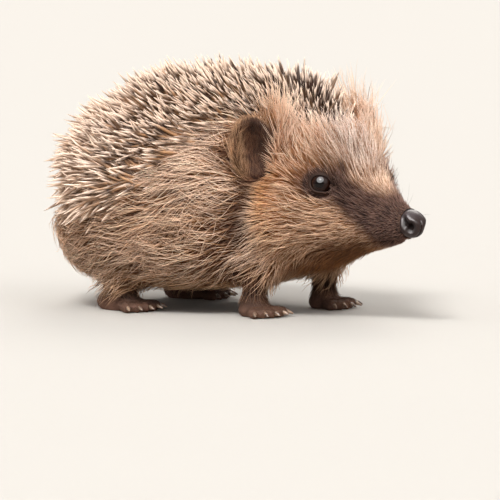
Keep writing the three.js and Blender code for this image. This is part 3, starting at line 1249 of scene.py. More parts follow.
    def sculpt(self) -> None:
        """Shapes the lids and the mouth and flattens the soles."""
        co = coordinates(self.mesh)
        for eye in EYES:
            co = Lids(eye).raised(co)
        chart = LINE.chart(co)
        groove = bell(chart.height, self.mouth(chart.at), self.mouth_width)
        groove = groove * self.mouth_start.past(chart.at) * self.mouth_end.before(chart.at)
        co -= vertex_normals(self.mesh) * (groove * self.mouth_depth * MM)[:, None]
        co[:, 2] = np.maximum(co[:, 2], 0.0)
        reshape(self.mesh, self.nose_seat(co))

    def nose_seat(self, co: Array) -> Array:
        """Flattens the end of the muzzle, so that it hides behind the middle of the nose pad.

        Args:
            co: places of the skin's vertices.

        Returns:
            The changed places.
        """
        ahead = LINE.forward(np.zeros(1))[0]
        offset = co - centre_of("nose")
        past = offset @ ahead - self.seat_back
        near = (np.linalg.norm(offset, axis=1) < self.seat_reach) & (past > 0)
        moved = co - np.outer(past * self.seat_flatness, ahead)
        return np.where(near[:, None], moved, co)

    def unwrap(self, obj: Piece) -> None:
        """Unwraps the skin; the coat takes its places on the map from this one.

        Args:
            obj: the skin.
        """
        obj.data.uv_layers.new(name=BAKE_MAP)
        bpy.context.view_layer.objects.active = obj
        obj.select_set(True)
        bpy.ops.object.mode_set(mode="EDIT")
        bpy.ops.mesh.select_all(action="SELECT")
        bpy.ops.uv.smart_project(angle_limit=1.15, island_margin=0.002, scale_to_bounds=True)
        bpy.ops.object.mode_set(mode="OBJECT")
        obj.select_set(False)

    def colours(self) -> Array:
        """Colours of the skin: the markings' root colours, bare and dark at lids, ears and feet, with painted
        shade in the ears' hollows and painted glints on the lower lids.

        Returns:
            A colour for each vertex.
        """
        co = coordinates(self.mesh)
        chart = self.chart(self.part_edge)
        root, _ = MARKINGS.tones(chart)
        toes = chart.part("foot") * self.toe_top.before(chart.height)
        layers = [
            (Bare.SPINED.colour, MARKINGS.spined(chart)),
            (Bare.FOOT.colour, 0.8 * chart.part("foot")),
            (Bare.TOE.colour, 0.6 * toes),
            (Bare.TAIL.colour, 0.8 * chart.part("tail")),
            (Bare.EAR.colour, 0.8 * chart.part("ear")),
            # painted shade in the ears' hollows
            (Bare.EAR_CUP_SHADE.colour, 0.8 * chart.part("cup")),
        ]
        for eye in EYES:
            layers += Lids(eye).tints(co)
        return layered(root * self.root_share, layers) * (1 + 0.12 * ripple(co, 3 * MM, 5))[:, None]


# ---- nose pad, eyes and claws ----


@dataclass
class NosePad:
    """The wet, naked nose pad with its two comma-shaped nostrils and the groove between them.

    Directions start in its middle: ahead, to the nostril's side, and up. Depths are shares of its radii.
    """

    radii: Triple = (4.15 * MM, 4.05 * MM, 4.25 * MM)
    shift: Pair = (0.2 * MM, -0.3 * MM)
    around: int = 96
    over: int = 64
    pit: Triple = (0.56, 0.74, -0.26)
    pit_stretch: Triple = (1.0, 1.0, 0.85)
    pit_width: float = 0.36
    pit_depth: float = 0.55
    slit_middle: Triple = (0.3, 0.92, -0.02)
    slit_end: Triple = (0.02, 0.9, 0.42)
    slit_widths: Pair = (0.3, 0.24)
    slit_depth: float = 0.4
    wing_back: Triple = (-0.12, 0.97, -0.2)
    wing_under: Triple = (0.42, 0.6, -0.7)
    wing_widths: Pair = (0.2, 0.16)
    wing_rise: float = 0.07
    groove_width: float = 0.055
    groove_depth: float = 0.13
    top_depth: float = 0.16
    cheek_rise: float = 0.05
    dark: str = "220e09"
    # painted reflection: the colour towards the top of the pad
    light: str = "34282a"
    # painted shade inside the nostrils
    hollow: str = "120604"
    roughness: Pair = (0.38, 0.95)
    hollow_limit: float = 0.55

    def build(self) -> Piece:
        """Makes the pad.

        Returns:
            The finished piece.
        """
        mesh = sphere("nose_pad", self.around, self.over, math.pi / 2)
        way = coordinates(mesh)
        push, hollow = self.nostrils(way)
        push -= self.groove_depth * self.groove(way)
        push -= self.top_depth * ramp(0.8 * way[:, 0] + way[:, 2], 0.75, 1.3)
        push += self.cheek_rise * self.cheeks(way)
        shape = way * (1 + push)[:, None] * np.array(self.radii)
        ahead = LINE.forward(np.zeros(1))[0]
        basis = np.stack([ahead, [-ahead[1], ahead[0], 0.0], UP])
        reshape(mesh, shape @ basis + centre_of("nose") + ahead * self.shift[0] + UP * self.shift[1])
        obj = new_piece("nose_pad", mesh)
        # painted reflection: the pad grows lighter towards its top, as the sky's reflection makes it
        light = ramp(way[:, 2] - 0.3 * way[:, 0], 0.0, 0.8)[:, None]
        tone = mix(shade(self.dark), shade(self.light), light)
        # painted shade: the nostrils' hollows are darker
        paint(obj, mix(tone, shade(self.hollow), np.minimum(1.5 * hollow, 1.0)[:, None]))
        roughness = obj.data.attributes.new(WETNESS, "FLOAT", "POINT")
        roughness.data.foreach_set("value", mix(*self.roughness, hollow).astype(np.float32))
        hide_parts("nose")
        finished(obj, "nose", NOSE_FINISH)
        mesh.materials.append(NOSTRIL_FINISH.material())
        for face in mesh.polygons:
            face.material_index = int(hollow[list(face.vertices)].mean() > self.hollow_limit)
        return obj

    def nostrils(self, way: Array) -> tuple[Array, Array]:
        """Shapes the nostrils and their wings.

        Args:
            way: directions.

        Returns:
            How far the surface is pushed outwards, and how far each point lies inside a nostril.
        """
        push, hollow = np.zeros((2, len(way)))
        for side in Side:
            pit, middle, end, back, under = (
                unit(np.array(spot) * (1, side.value, 1))
                for spot in (self.pit, self.slit_middle, self.slit_end, self.wing_back, self.wing_under)
            )
            away = np.linalg.norm((way - pit) * self.pit_stretch, axis=1)
            bore = np.exp(-((away / self.pit_width) ** 4))
            slit = np.maximum(
                self.stroke(way, pit, middle, self.slit_widths[0]),
                self.stroke(way, middle, end, self.slit_widths[1]),
            )
            wing = np.maximum(
                self.stroke(way, back, pit * 0.2 + back * 0.8, self.wing_widths[0]),
                self.stroke(way, back, under, self.wing_widths[1]),
            )
            deep = np.maximum(self.pit_depth * bore, self.slit_depth * slit)
            push += self.wing_rise * wing * (1 - slit) - deep
            hollow = np.maximum(hollow, np.maximum(bore, slit))
        return push, hollow

    def groove(self, way: Array) -> Array:
        """The groove between the nostrils."""
        middle = bell(way[:, 1], 0.0, self.groove_width)
        return middle * ramp(way[:, 0], 0.2, 0.6) * (1 - ramp(way[:, 2], 0.0, 0.45))

    def cheeks(self, way: Array) -> Array:
        """The swellings on both sides of the groove."""
        return ramp(np.abs(way[:, 1]), 0.1, 0.5) * ramp(way[:, 0], 0.3, 0.9) * (1 - ramp(way[:, 2], 0.2, 0.8))

    def stroke(self, way: Array, start: Array, end: Array, width: float) -> Array:
        """A soft stroke on the sphere of directions between two directions.

        Args:
            way: directions.
            start: where the stroke begins.
            end: where it ends.
            width: its width at the beginning.

        Returns:
            One share for each direction.
        """
        span = end - start
        t = np.clip(((way - start) @ span) / (span @ span), 0.0, 1.0)
        gap = np.linalg.norm(way - (start + t[:, None] * span), axis=1)
        return np.exp(-((gap / (width * (1.15 - 0.6 * t))) ** 2))


@dataclass
class EyeBall:
    """A round dark eye with a faint brown iris under a wet surface. Places on it are shares of its radius."""

    seat: EyeSeat
    around: int = 64
    over: int = 40
    bulge: float = 0.025
    cornea: Edge = Edge(0.6, 1.0)
    iris_start: Edge = Edge(0.34, 0.42)
    iris_end: Edge = Edge(0.78, 0.9)
    dark: str = "080403"
    iris: str = "1e0d07"
    back: str = "1a100c"

    def build(self) -> Piece:
        """Makes the eye.

        Returns:
            The finished piece.
        """
        name = f"eyeball_{self.seat.side.label}"
        mesh = sphere(name, self.around, self.over)
        way = coordinates(mesh)
        bulge = 1 + self.bulge * self.cornea.past(way[:, 2])
        reshape(mesh, way * (bulge * self.seat.radius)[:, None] @ self.seat.basis + self.seat.centre)
        obj = new_piece(name, mesh)
        off = np.hypot(way[:, 0], way[:, 1])
        iris = self.iris_start.past(off) * self.iris_end.before(off)
        colour = mix(shade(self.dark), shade(self.iris), iris[:, None])
        paint(obj, np.where((way[:, 2] > 0)[:, None], colour, shade(self.back)))
        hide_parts(f"eye_{self.seat.side.label}")
        return finished(obj, "eye", EYE_FINISH)


@dataclass
class Claws:
    """The claws keep their solids, and get a rounder surface and the look of streaky horn."""

    levels: int = 2
    weld: float = 0.002 * MM
    roughness: float = 0.34
    streak_scale: float = 900.0
    tones: tuple[tuple[float, str], ...] = ((0.35, "4a362b"), (0.7, "a98b72"))
    relief: float = 0.2
    relief_rise: float = 0.1 * MM

    def dress(self) -> None:
        """Finishes every claw."""
        material = self.horn()
        nodes = [o for name, o in sorted(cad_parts.items()) if "claw" in name]
        for claw in nodes:
            weld = claw.modifiers.new("weld", "WELD")
            weld.merge_threshold = self.weld
            rounder = claw.modifiers.new("rounder", "SUBSURF")
            rounder.levels = rounder.render_levels = self.levels
            claw.data.materials.clear()
            claw.data.materials.append(material)
        LOG.info("claws: %d solids dressed", len(nodes))

    def horn(self) -> bpy.types.Material:
        """Builds horn with fine streaks.

        Returns:
            The material.
        """
        made, shader = new_material("claw_horn", self.roughness)
        nodes, links = made.node_tree.nodes, made.node_tree.links
        place = nodes.new("ShaderNodeTexCoord")
        streak = nodes.new("ShaderNodeTexNoise")
        streak.inputs["Scale"].default_value = self.streak_scale
        links.new(place.outputs["Object"], streak.inputs["Vector"])
        tones = nodes.new("ShaderNodeValToRGB")
        for element, (position, code) in zip(tones.color_ramp.elements, self.tones):
            element.position = position
            element.color = (*shade(code), 1)
        links.new(streak.outputs["Fac"], tones.inputs["Fac"])
        links.new(tones.outputs["Color"], shader.inputs["Base Color"])
        add_relief(shader, streak.outputs["Fac"], self.relief, self.relief_rise)
        return made


# ---- coat ----


@dataclass
class Ground:
    """The finished skin as the coat needs it: its triangles, their map, and a search tree."""

    skin: Piece
    trees: dict[str, BVHTree]
    part_edge: Edge = Edge(0.9, 2.2)
    corners: Array = field(init=False)
    loops: Array = field(init=False)
    co: Array = field(init=False)
    normals: Array = field(init=False)
    uv: Array = field(init=False)
    area: Array = field(init=False)
    middle: Array = field(init=False)
    facing: Array = field(init=False)
    tree: BVHTree = field(init=False)
    chart: Chart = field(init=False)

    def __post_init__(self) -> None:
        """Reads the skin's mesh once."""
        mesh = self.skin.data
        mesh.calc_loop_triangles()
        self.corners = read(mesh.loop_triangles, "vertices", 3, np.int32)
        self.loops = read(mesh.loop_triangles, "loops", 3, np.int32)
        self.co = coordinates(mesh)
        self.normals = vertex_normals(mesh)
        self.uv = read(mesh.uv_layers[BAKE_MAP].data, "uv", 2).astype(float)
        a, b, c = (self.co[self.corners[:, k]] for k in range(3))
        across = np.cross(b - a, c - a)
        self.area = np.linalg.norm(across, axis=1) / 2
        self.middle = (a + b + c) / 3
        self.facing = unit(across)
        self.tree = BVHTree.FromPolygons(self.co.tolist(), self.corners.tolist())
        self.chart = self.chart_of(self.middle)

    def chart_of(self, points: Array) -> Chart:
        """Measures points, with how much each belongs to ears, legs, feet and tail."""
        return LINE.chart(points, parts_of(points, self.trees, self.part_edge))

    def nearest(self, points: Array) -> tuple[Array, Array]:
        """The nearest places on the skin, and the directions they face."""
        found = [self.tree.find_nearest(p) for p in points]
        return np.array([f[0] for f in found]), np.array([f[1] for f in found])

    def sow(self, count: int, weight: Array, rng: Chance) -> dict[str, Array]:
        """Scatters roots over the skin.

        Args:
            count: how many.
            weight: how densely each triangle of the skin is grown.
            rng: the source of chance.

        Returns:
            Points, normals, places on the map and the numbers of the triangles.
        """
        share = np.cumsum(self.area * weight)
        pick = np.searchsorted(share, (np.arange(count) + rng.uniform(size=count)) / count * share[-1])
        pick = np.minimum(pick, len(share) - 1)
        u, v = rng.uniform(size=(2, count))
        flip = u + v > 1
        u, v = np.where(flip, 1 - u, u), np.where(flip, 1 - v, v)
        w = np.stack([1 - u - v, u, v], axis=1)[:, :, None]
        return {
            "points": (self.co[self.corners[pick]] * w).sum(axis=1),
            "normals": unit((self.normals[self.corners[pick]] * w).sum(axis=1)),
            "uv": (self.uv[self.loops[pick]] * w).sum(axis=1),
            "triangles": pick,
        }


@dataclass(frozen=True)
class Lie:
    """Which way the coat lies: away from the nose, upwards on the brow, downwards on flanks and rump."""

    nose_at: float = 1.0 * MM
    nose_height: float = 30.0 * MM
    face_end: Edge = Edge(36, 52)
    brow_low: Edge = Edge(39, 49)
    brow_start: Edge = Edge(14, 26)
    brow_end: Edge = Edge(40, 50)
    brow_rise: float = 0.85
    flank_start: Edge = Edge(44, 56)
    flank_fall: Profile = Profile((12, 30, 50), (0.45, 0.25, 0.05))
    rump_start: Edge = Edge(108, 128)
    rump_fall: Pair = (0.35, 1.0)
    tail_share: float = 0.6
    limb_back: float = 0.5
    foot_fall: float = 0.1
    ear_back: float = 0.35

    def along(self, points: Array, normals: Array, chart: Chart) -> Array:
        """The direction that the coat lies in, along the skin.

        Args:
            points: roots.
            normals: directions the skin faces there.
            chart: where the roots are on the animal.

        Returns:
            One unit vector for each root.
        """
        back = -LINE.forward(chart.at * MM)
        from_nose = unit(points - LINE.place(self.nose_at, 0.0, self.nose_height))
        way = mix(back, from_nose, self.face_end.before(chart.at)[:, None])
        brow = self.brow_low.past(chart.height) * self.brow_start.past(chart.at)
        brow = brow * self.brow_end.before(chart.at)
        way = way + UP * (self.brow_rise * brow)[:, None]
        bare_of_spines = 1 - MARKINGS.spined(chart)
        flank = self.flank_start.past(chart.at) * bare_of_spines
        way = way - UP * (flank * self.flank_fall(chart.height))[:, None]
        way = way - UP * (self.rump_start.past(chart.at) * mix(*self.rump_fall, bare_of_spines))[:, None]
        limb = np.maximum(chart.part("leg"), self.tail_share * chart.part("tail"))[:, None]
        way = mix(way, back * self.limb_back - UP, limb)
        way = mix(way, -back - UP * self.foot_fall, chart.part("foot")[:, None])
        way = mix(way, back * self.ear_back + UP, chart.part("ear")[:, None])
        return unit(way - normals * (way * normals).sum(axis=1, keepdims=True))


LIE = Lie()


def turned(way: Array, normals: Array, angle: Array) -> Array:
    """Directions turned about the normals by angles in radians."""
    c, s = np.cos(angle)[:, None], np.sin(angle)[:, None]
    return way * c + np.cross(normals, way) * s


def swept(name: str, paths: Array, radii: Array, sides: int, colours: Array, uv: Array) -> Piece:
    """Joins closed, tapering strands into one piece, each with its own small patch on the map.

    Args:
        name: the piece's name.
        paths: points along each strand, root first.
        radii: radius at every point but the last, which is the tip.
        sides: how many sides a strand has.
        colours: colour at each point of each strand.
        uv: place of each strand's root on the map.

    Returns:
        The piece, coloured and mapped.
    """
    count, steps, _ = paths.shape
    rings = steps - 1
    along = unit(np.gradient(paths, axis=1))
    no_strand = np.array([0.31, 0.52, 0.79])  # a direction that no strand takes exactly
    aside = unit(np.cross(along, unit(no_strand)))
    over = np.cross(along, aside)
    angle = 2 * math.pi * np.arange(sides) / sides
    c, s = np.cos(angle)[:, None], np.sin(angle)[:, None]
    wide = radii[:, :, None, None]
    ring = paths[:, :rings, None] + wide * c * aside[:, :rings, None] + wide * s * over[:, :rings, None]
    each = rings * sides + 1
    verts = np.concatenate([ring.reshape(count, rings * sides, 3), paths[:, -1:, :]], axis=1)
    faces = []
    for r in range(rings - 1):
        for i in range(sides):
            a, b = r * sides + i, r * sides + (i + 1) % sides
            faces += [(a, b, b + sides), (a, b + sides, a + sides)]
    last = (rings - 1) * sides
    faces += [(last + i, last + (i + 1) % sides, each - 1) for i in range(sides)]
    faces += [(0, i + 1, i) for i in range(1, sides - 1)]
    faces = np.array(faces)
    every = (np.arange(count)[:, None, None] * each + faces[None]).reshape(-1, 3)
    mesh = bpy.data.meshes.new(name)
    mesh.vertices.add(count * each)
    mesh.loops.add(every.size)
    mesh.polygons.add(len(every))
    mesh.vertices.foreach_set("co", verts.astype(np.float32).ravel())
    mesh.loops.foreach_set("vertex_index", every.astype(np.int32).ravel())
    mesh.polygons.foreach_set("loop_start", np.arange(0, every.size, 3, dtype=np.int32))
    mesh.update(calc_edges=True)
    level = np.append(np.repeat(np.arange(rings), sides), rings) / rings
    turn = np.append(np.tile(np.arange(sides), rings) / sides, 0.5)
    spot = np.stack([turn, level], axis=1) * PATCH
    place = (uv[:, None, :] + spot[None] - PATCH / 2).reshape(-1, 2)
    layer = mesh.uv_layers.new(name=BAKE_MAP)
    layer.data.foreach_set("uv", place[every.ravel()].astype(np.float32).ravel())
    obj = new_piece(name, mesh)
    spread = np.concatenate([np.repeat(colours[:, :rings], sides, axis=1), colours[:, -1:]], axis=1)
    paint(obj, spread.reshape(-1, 3))
    return obj


@dataclass
class SpineCoat:
    """The spines of crown, back and rump: pale, with a dark band below a pale tip.

    Lengths are in millimetres, the spread is in radians and the lean in degrees; places along a spine are
    shares of its length.
    """

    ground: Ground
    count: int = 4900
    sides: int = 5
    seed: int = 11
    grown: Edge = Edge(0.25, 0.8)
    patchiness: float = 0.4
    least_density: float = 0.15
    top: Edge = Edge(42, 64)
    length: float = 12.4
    extra_at_side: float = 2.2
    edge: Edge = Edge(0.5, 1.0)
    edge_loss: float = 0.36
    crown_end: Edge = Edge(41, 52)
    crown_length: float = 0.82
    spread: float = 0.4
    most_spread: float = 0.8
    spread_in_patches: float = 0.22
    lean: Pair = (24.0, 52.0)
    lean_varies: float = 11.0
    lean_in_patches: float = 6
    lean_limits: Pair = (12, 74)
    bow: float = -0.04
    rooted: float = 0.4
    radius: float = 0.45
    varied: float = 0.12
    profile: tuple[float, ...] = (0.75, 0.98, 1.0, 0.92, 0.7, 0.36)
    stops: tuple[float, ...] = (0.0, 0.42, 0.57, 0.7, 0.82, 0.93, 1.0)
    base: str = "bb8f69"
    band: str = "2f1709"
    tip: str = "f4dac6"
    band_start: float = 0.5
    band_end: float = 0.76
    band_varies: float = 0.07
    plain_share: float = 0.14
    dark_crown: Edge = Edge(42, 50)
    dark_crown_end: Edge = Edge(52, 70)
    pale_rear: Edge = Edge(85, 112)

    def build(self) -> list[Piece]:
        """Makes the spines.

        Returns:
            The finished pieces, front and back.
        """
        rng = np.random.default_rng(self.seed)
        ground = self.ground
        weight = self.grown.past(MARKINGS.spined(ground.chart))
        patches = 1 + self.patchiness * ripple(ground.middle, 6 * MM, 23)
        weight = weight * np.maximum(patches, self.least_density)
        roots = ground.sow(self.count, weight, rng)
        chart = ground.chart_of(roots["points"])
        count = len(chart.at)
        straight = self.directions(roots, chart, rng)
        length = self.lengths(chart, rng) * MM
        stops = np.array(self.stops)
        paths = roots["points"][:, None, :] + straight[:, None, :] * (length[:, None] * stops)[:, :, None]
        bow = (roots["normals"] * self.bow * length[:, None])[:, None, :] * (stops**2)[None, :, None]
        paths = paths + bow - (roots["normals"] * self.rooted * MM)[:, None, :]
        thick = self.radius * MM * (1 + self.varied * rng.normal(size=count))
        radii = thick[:, None] * np.array(self.profile)[None]
        colours = self.banded(chart, stops, rng)
        order = np.argsort(chart.at)
        half = count // 2
        pieces = []
        for name, pick in (("spines_front", order[:half]), ("spines_back", order[half:])):
            obj = swept(name, paths[pick], radii[pick], self.sides, colours[pick], roots["uv"][pick])
            pieces.append(finished(obj, "spines", SPINE_FINISH))
        return pieces

    def directions(self, roots: dict[str, Array], chart: Chart, rng: Chance) -> Array:
        """The directions that the spines point in.

        Args:
            roots: where they grow, as the ground gives it.
            chart: where that is on the animal.
            rng: the source of chance.

        Returns:
            One unit vector for each spine.
        """
        points, normals = roots["points"], roots["normals"]
        count = len(points)
        spread = np.clip(self.spread * rng.normal(size=count), -self.most_spread, self.most_spread)
        way = LIE.along(points, normals, chart)
        way = turned(way, normals, spread + self.spread_in_patches * ripple(points, 9 * MM, 21))
        lean = mix(*self.lean, self.top.past(chart.height)) + self.lean_varies * rng.normal(size=count)
        lean = np.radians(lean + self.lean_in_patches * ripple(points, 7 * MM, 22))
        lean = np.clip(lean, *(math.radians(limit) for limit in self.lean_limits))[:, None]
        return way * np.cos(lean) + normals * np.sin(lean)

    def lengths(self, chart: Chart, rng: Chance) -> Array:
        """Lengths of the spines: longer on the sides, shorter at the edge of the coat and on the crown.

        Args:
            chart: where they grow.
            rng: the source of chance.

        Returns:
            One length for each spine.
        """
        count = len(chart.at)
        edge = self.edge.before(MARKINGS.spined(chart))
        varied = 1 + self.varied * np.clip(rng.normal(size=count), -2, 2)
        length = self.length + self.extra_at_side * (1 - self.top.past(chart.height))
        length = length * varied * (1 - self.edge_loss * edge)
        return length * mix(np.ones(count), self.crown_length, self.crown_end.before(chart.at))

    def banded(self, chart: Chart, stops: Array, rng: Chance) -> Array:
        """Colours along each spine: buff base, dark band, pale tip.

        Args:
            chart: where the spines grow.
            stops: places along a spine.
            rng: the source of chance.

        Returns:
            A colour at each place of each spine.
        """
        count = len(chart.at)
        base, band, tip = shade(self.base), shade(self.band), shade(self.tip)
        crown = self.dark_crown.past(chart.height) * self.dark_crown_end.before(chart.at)
        start = self.band_start - 0.1 * crown + self.band_varies * rng.normal(size=count)
        end = self.band_end + 0.04 * crown + self.band_varies * rng.normal(size=count)
        after_start = stops[None] - start[:, None]
        after_end = stops[None] - end[:, None]
        dark = ramp(after_start, -0.08, 0.06) * (1 - ramp(after_end, -0.06, 0.1))
        rear = self.pale_rear.past(chart.at)
        dark *= (rng.uniform(0.75, 1.0, count) * (1 - 0.4 * rear))[:, None]
        dark[rng.uniform(size=count) < self.plain_share] *= 0.25
        pale = ramp(after_end, -0.1, 0.1)
        low = mix(mix(base, tip, 0.3 * rear[:, None]), band, 0.6 * crown[:, None])
        colour = mix(np.repeat(low[:, None], len(stops), axis=1), tip, pale[:, :, None])
        colour = mix(colour, band, dark[:, :, None])
        bright = rng.uniform(0.88, 1.06, count)[:, None, None]
        yellower = np.array([0.0, -0.02, -0.05]) * rng.uniform(-1, 1, count)[:, None, None]
        return colour * bright * (1 + yellower)


@dataclass(frozen=True)
class LayerLook:
    """How a layer differs: factors on stand-off, length and radius, paleness, cast of the tips, disorder."""

    lift: float
    length: float
    radius: float
    pale: float
    cast: Triple
    crossing: float = 0.1


class Layer(Enum):
    """The layers of hair."""

    UNDER = LayerLook(0.62, 0.8, 0.85, 0.36, (1.16, 0.87, 0.64))
    GUARD = LayerLook(1.0, 1.12, 1.3, 1.0, (1.0, 1.0, 1.0), crossing=0.23)
    SHORT = LayerLook(0.85, 0.95, 0.85, 0.5, (1.03, 0.99, 0.95))


@dataclass(frozen=True)
class PartHair:
    """Length, stand-off and radius of the hair on one part, in millimetres."""

    part: str
    length: float
    lift: float
    radius: float


@dataclass(frozen=True)
class HairSize:
    """How long and thick the hair is everywhere, and how far it stands off, in millimetres."""

    length: Profile = Profile(
        (3, 7, 12, 18, 24, 30, 38, 46, 60, 137), (0.8, 1.0, 1.5, 2.4, 3.8, 5.6, 8.0, 9.5, 14.0, 16.0)
    )
    radius: Profile = Profile(
        (3, 7, 12, 18, 24, 30, 38, 46, 60, 137),
        (0.045, 0.048, 0.05, 0.058, 0.066, 0.074, 0.084, 0.095, 0.11, 0.115),
    )
    lift_share: float = 0.92
    crest_gain: float = 0.4
    crest_lift: float = 3.6
    brow: Spot = (27.0, 47.0, 5.0)
    crown_width: float = 17
    near_spines: Pair = (2.5, 0.45)
    belly_top: Edge = Edge(8, 18)
    belly_share: float = 0.7
    parts: tuple[PartHair, ...] = (
        PartHair("leg", 4.2, 0.9, 0.085),
        PartHair("tail", 2.4, 0.3, 0.06),
        PartHair("foot", 2.1, 0.4, 0.055),
        PartHair("ear", 2.8, 0.75, 0.075),
    )
    eye_reach: Edge = Edge(3.4, 7.5)
    tail_reach: Edge = Edge(6, 13)

    def sizes(self, points: Array, chart: Chart) -> tuple[Array, Array, Array]:
        """Length, stand-off and radius of hairs.

        Args:
            points: roots.
            chart: where they are on the animal.

        Returns:
            Three arrays, in millimetres.
        """
        length, lift = self.on_head(chart)
        radius = self.radius(chart.at)
        length = length * mix(np.ones_like(length), self.belly_share, self.belly_top.before(chart.height))
        for hair in self.parts:
            share = chart.part(hair.part)
            length = mix(length, hair.length, share)
            lift = mix(lift, hair.lift, share)
            radius = mix(radius, hair.radius, share)
        for eye in EYES:
            close = self.eye_reach.before(eye.span(points))
            length = length * (1 - 0.75 * close)
            lift = lift * (1 - 0.8 * close)
            radius = radius * (1 - 0.3 * close)
        beside_tail = self.tail_reach.before(np.linalg.norm(points - centre_of("tail"), axis=1) / MM)
        length = length * (1 - 0.5 * beside_tail)
        lift = lift * (1 - 0.55 * beside_tail)
        crease = MARKINGS.crease(chart)
        length = length * (1 - 0.5 * MARKINGS.crease(chart, 5.0, 4.5))
        beside_ear = chart.part("beside_ear") * (1 - chart.part("ear"))
        length = length * (1 - 0.3 * crease) * (1 - 0.15 * beside_ear)
        lift = lift * (1 - 0.75 * crease) * (1 - 0.15 * beside_ear)
        return length, lift, radius

    def on_head(self, chart: Chart) -> tuple[Array, Array]:
        """Length and stand-off along the body, fuller on forehead, temples, brow and the ridge of the muzzle.

        Args:
            chart: where the hairs grow.

        Returns:
            Two arrays, in millimetres.
        """
        at, height = chart.at, chart.height
        crest = ramp(chart.angle, 15, 45) * ramp(at, 14, 28) * (1 - ramp(at, 46, 56))
        length = self.length(at) * (1 + self.crest_gain * crest)
        lift = MARKINGS.depth(chart) * self.lift_share
        lift = lift + self.crest_lift * crest * ramp(at, 18, 28) * (1 - ramp(at, 40, 50))
        temple = ramp(height, 44, 54) * ramp(at, 24, 32) * (1 - ramp(at, 48, 56))
        temple = temple * ramp(np.abs(chart.left), 8, 15)
        ridge = bell(chart.left, 0.0, 9) * ramp(at, 8, 18) * (1 - ramp(at, 34, 44)) * ramp(height, 32, 38)
        brow = chart.near(*self.brow)
        muzzle = bell(chart.left, 0.0, 5) * ramp(at, 3.5, 7) * (1 - ramp(at, 14, 20)) * ramp(height, 31, 34)
        lift = lift + 4.4 * temple + 3.0 * ridge + 2.5 * brow + 1.1 * muzzle
        length = length + 2.0 * temple + 1.5 * brow + 0.9 * muzzle
        crown = np.exp(-((chart.left / self.crown_width) ** 4)) * (1 - ramp(at, 48, 56))
        least, per_degree = self.near_spines
        to_spines = least + per_degree * np.maximum(-MARKINGS.within(chart), 0.0)
        length = mix(length, np.minimum(length, to_spines), crown)
        return length, mix(lift, np.minimum(lift, 0.95 * length), crown)


HAIR_SIZE = HairSize()


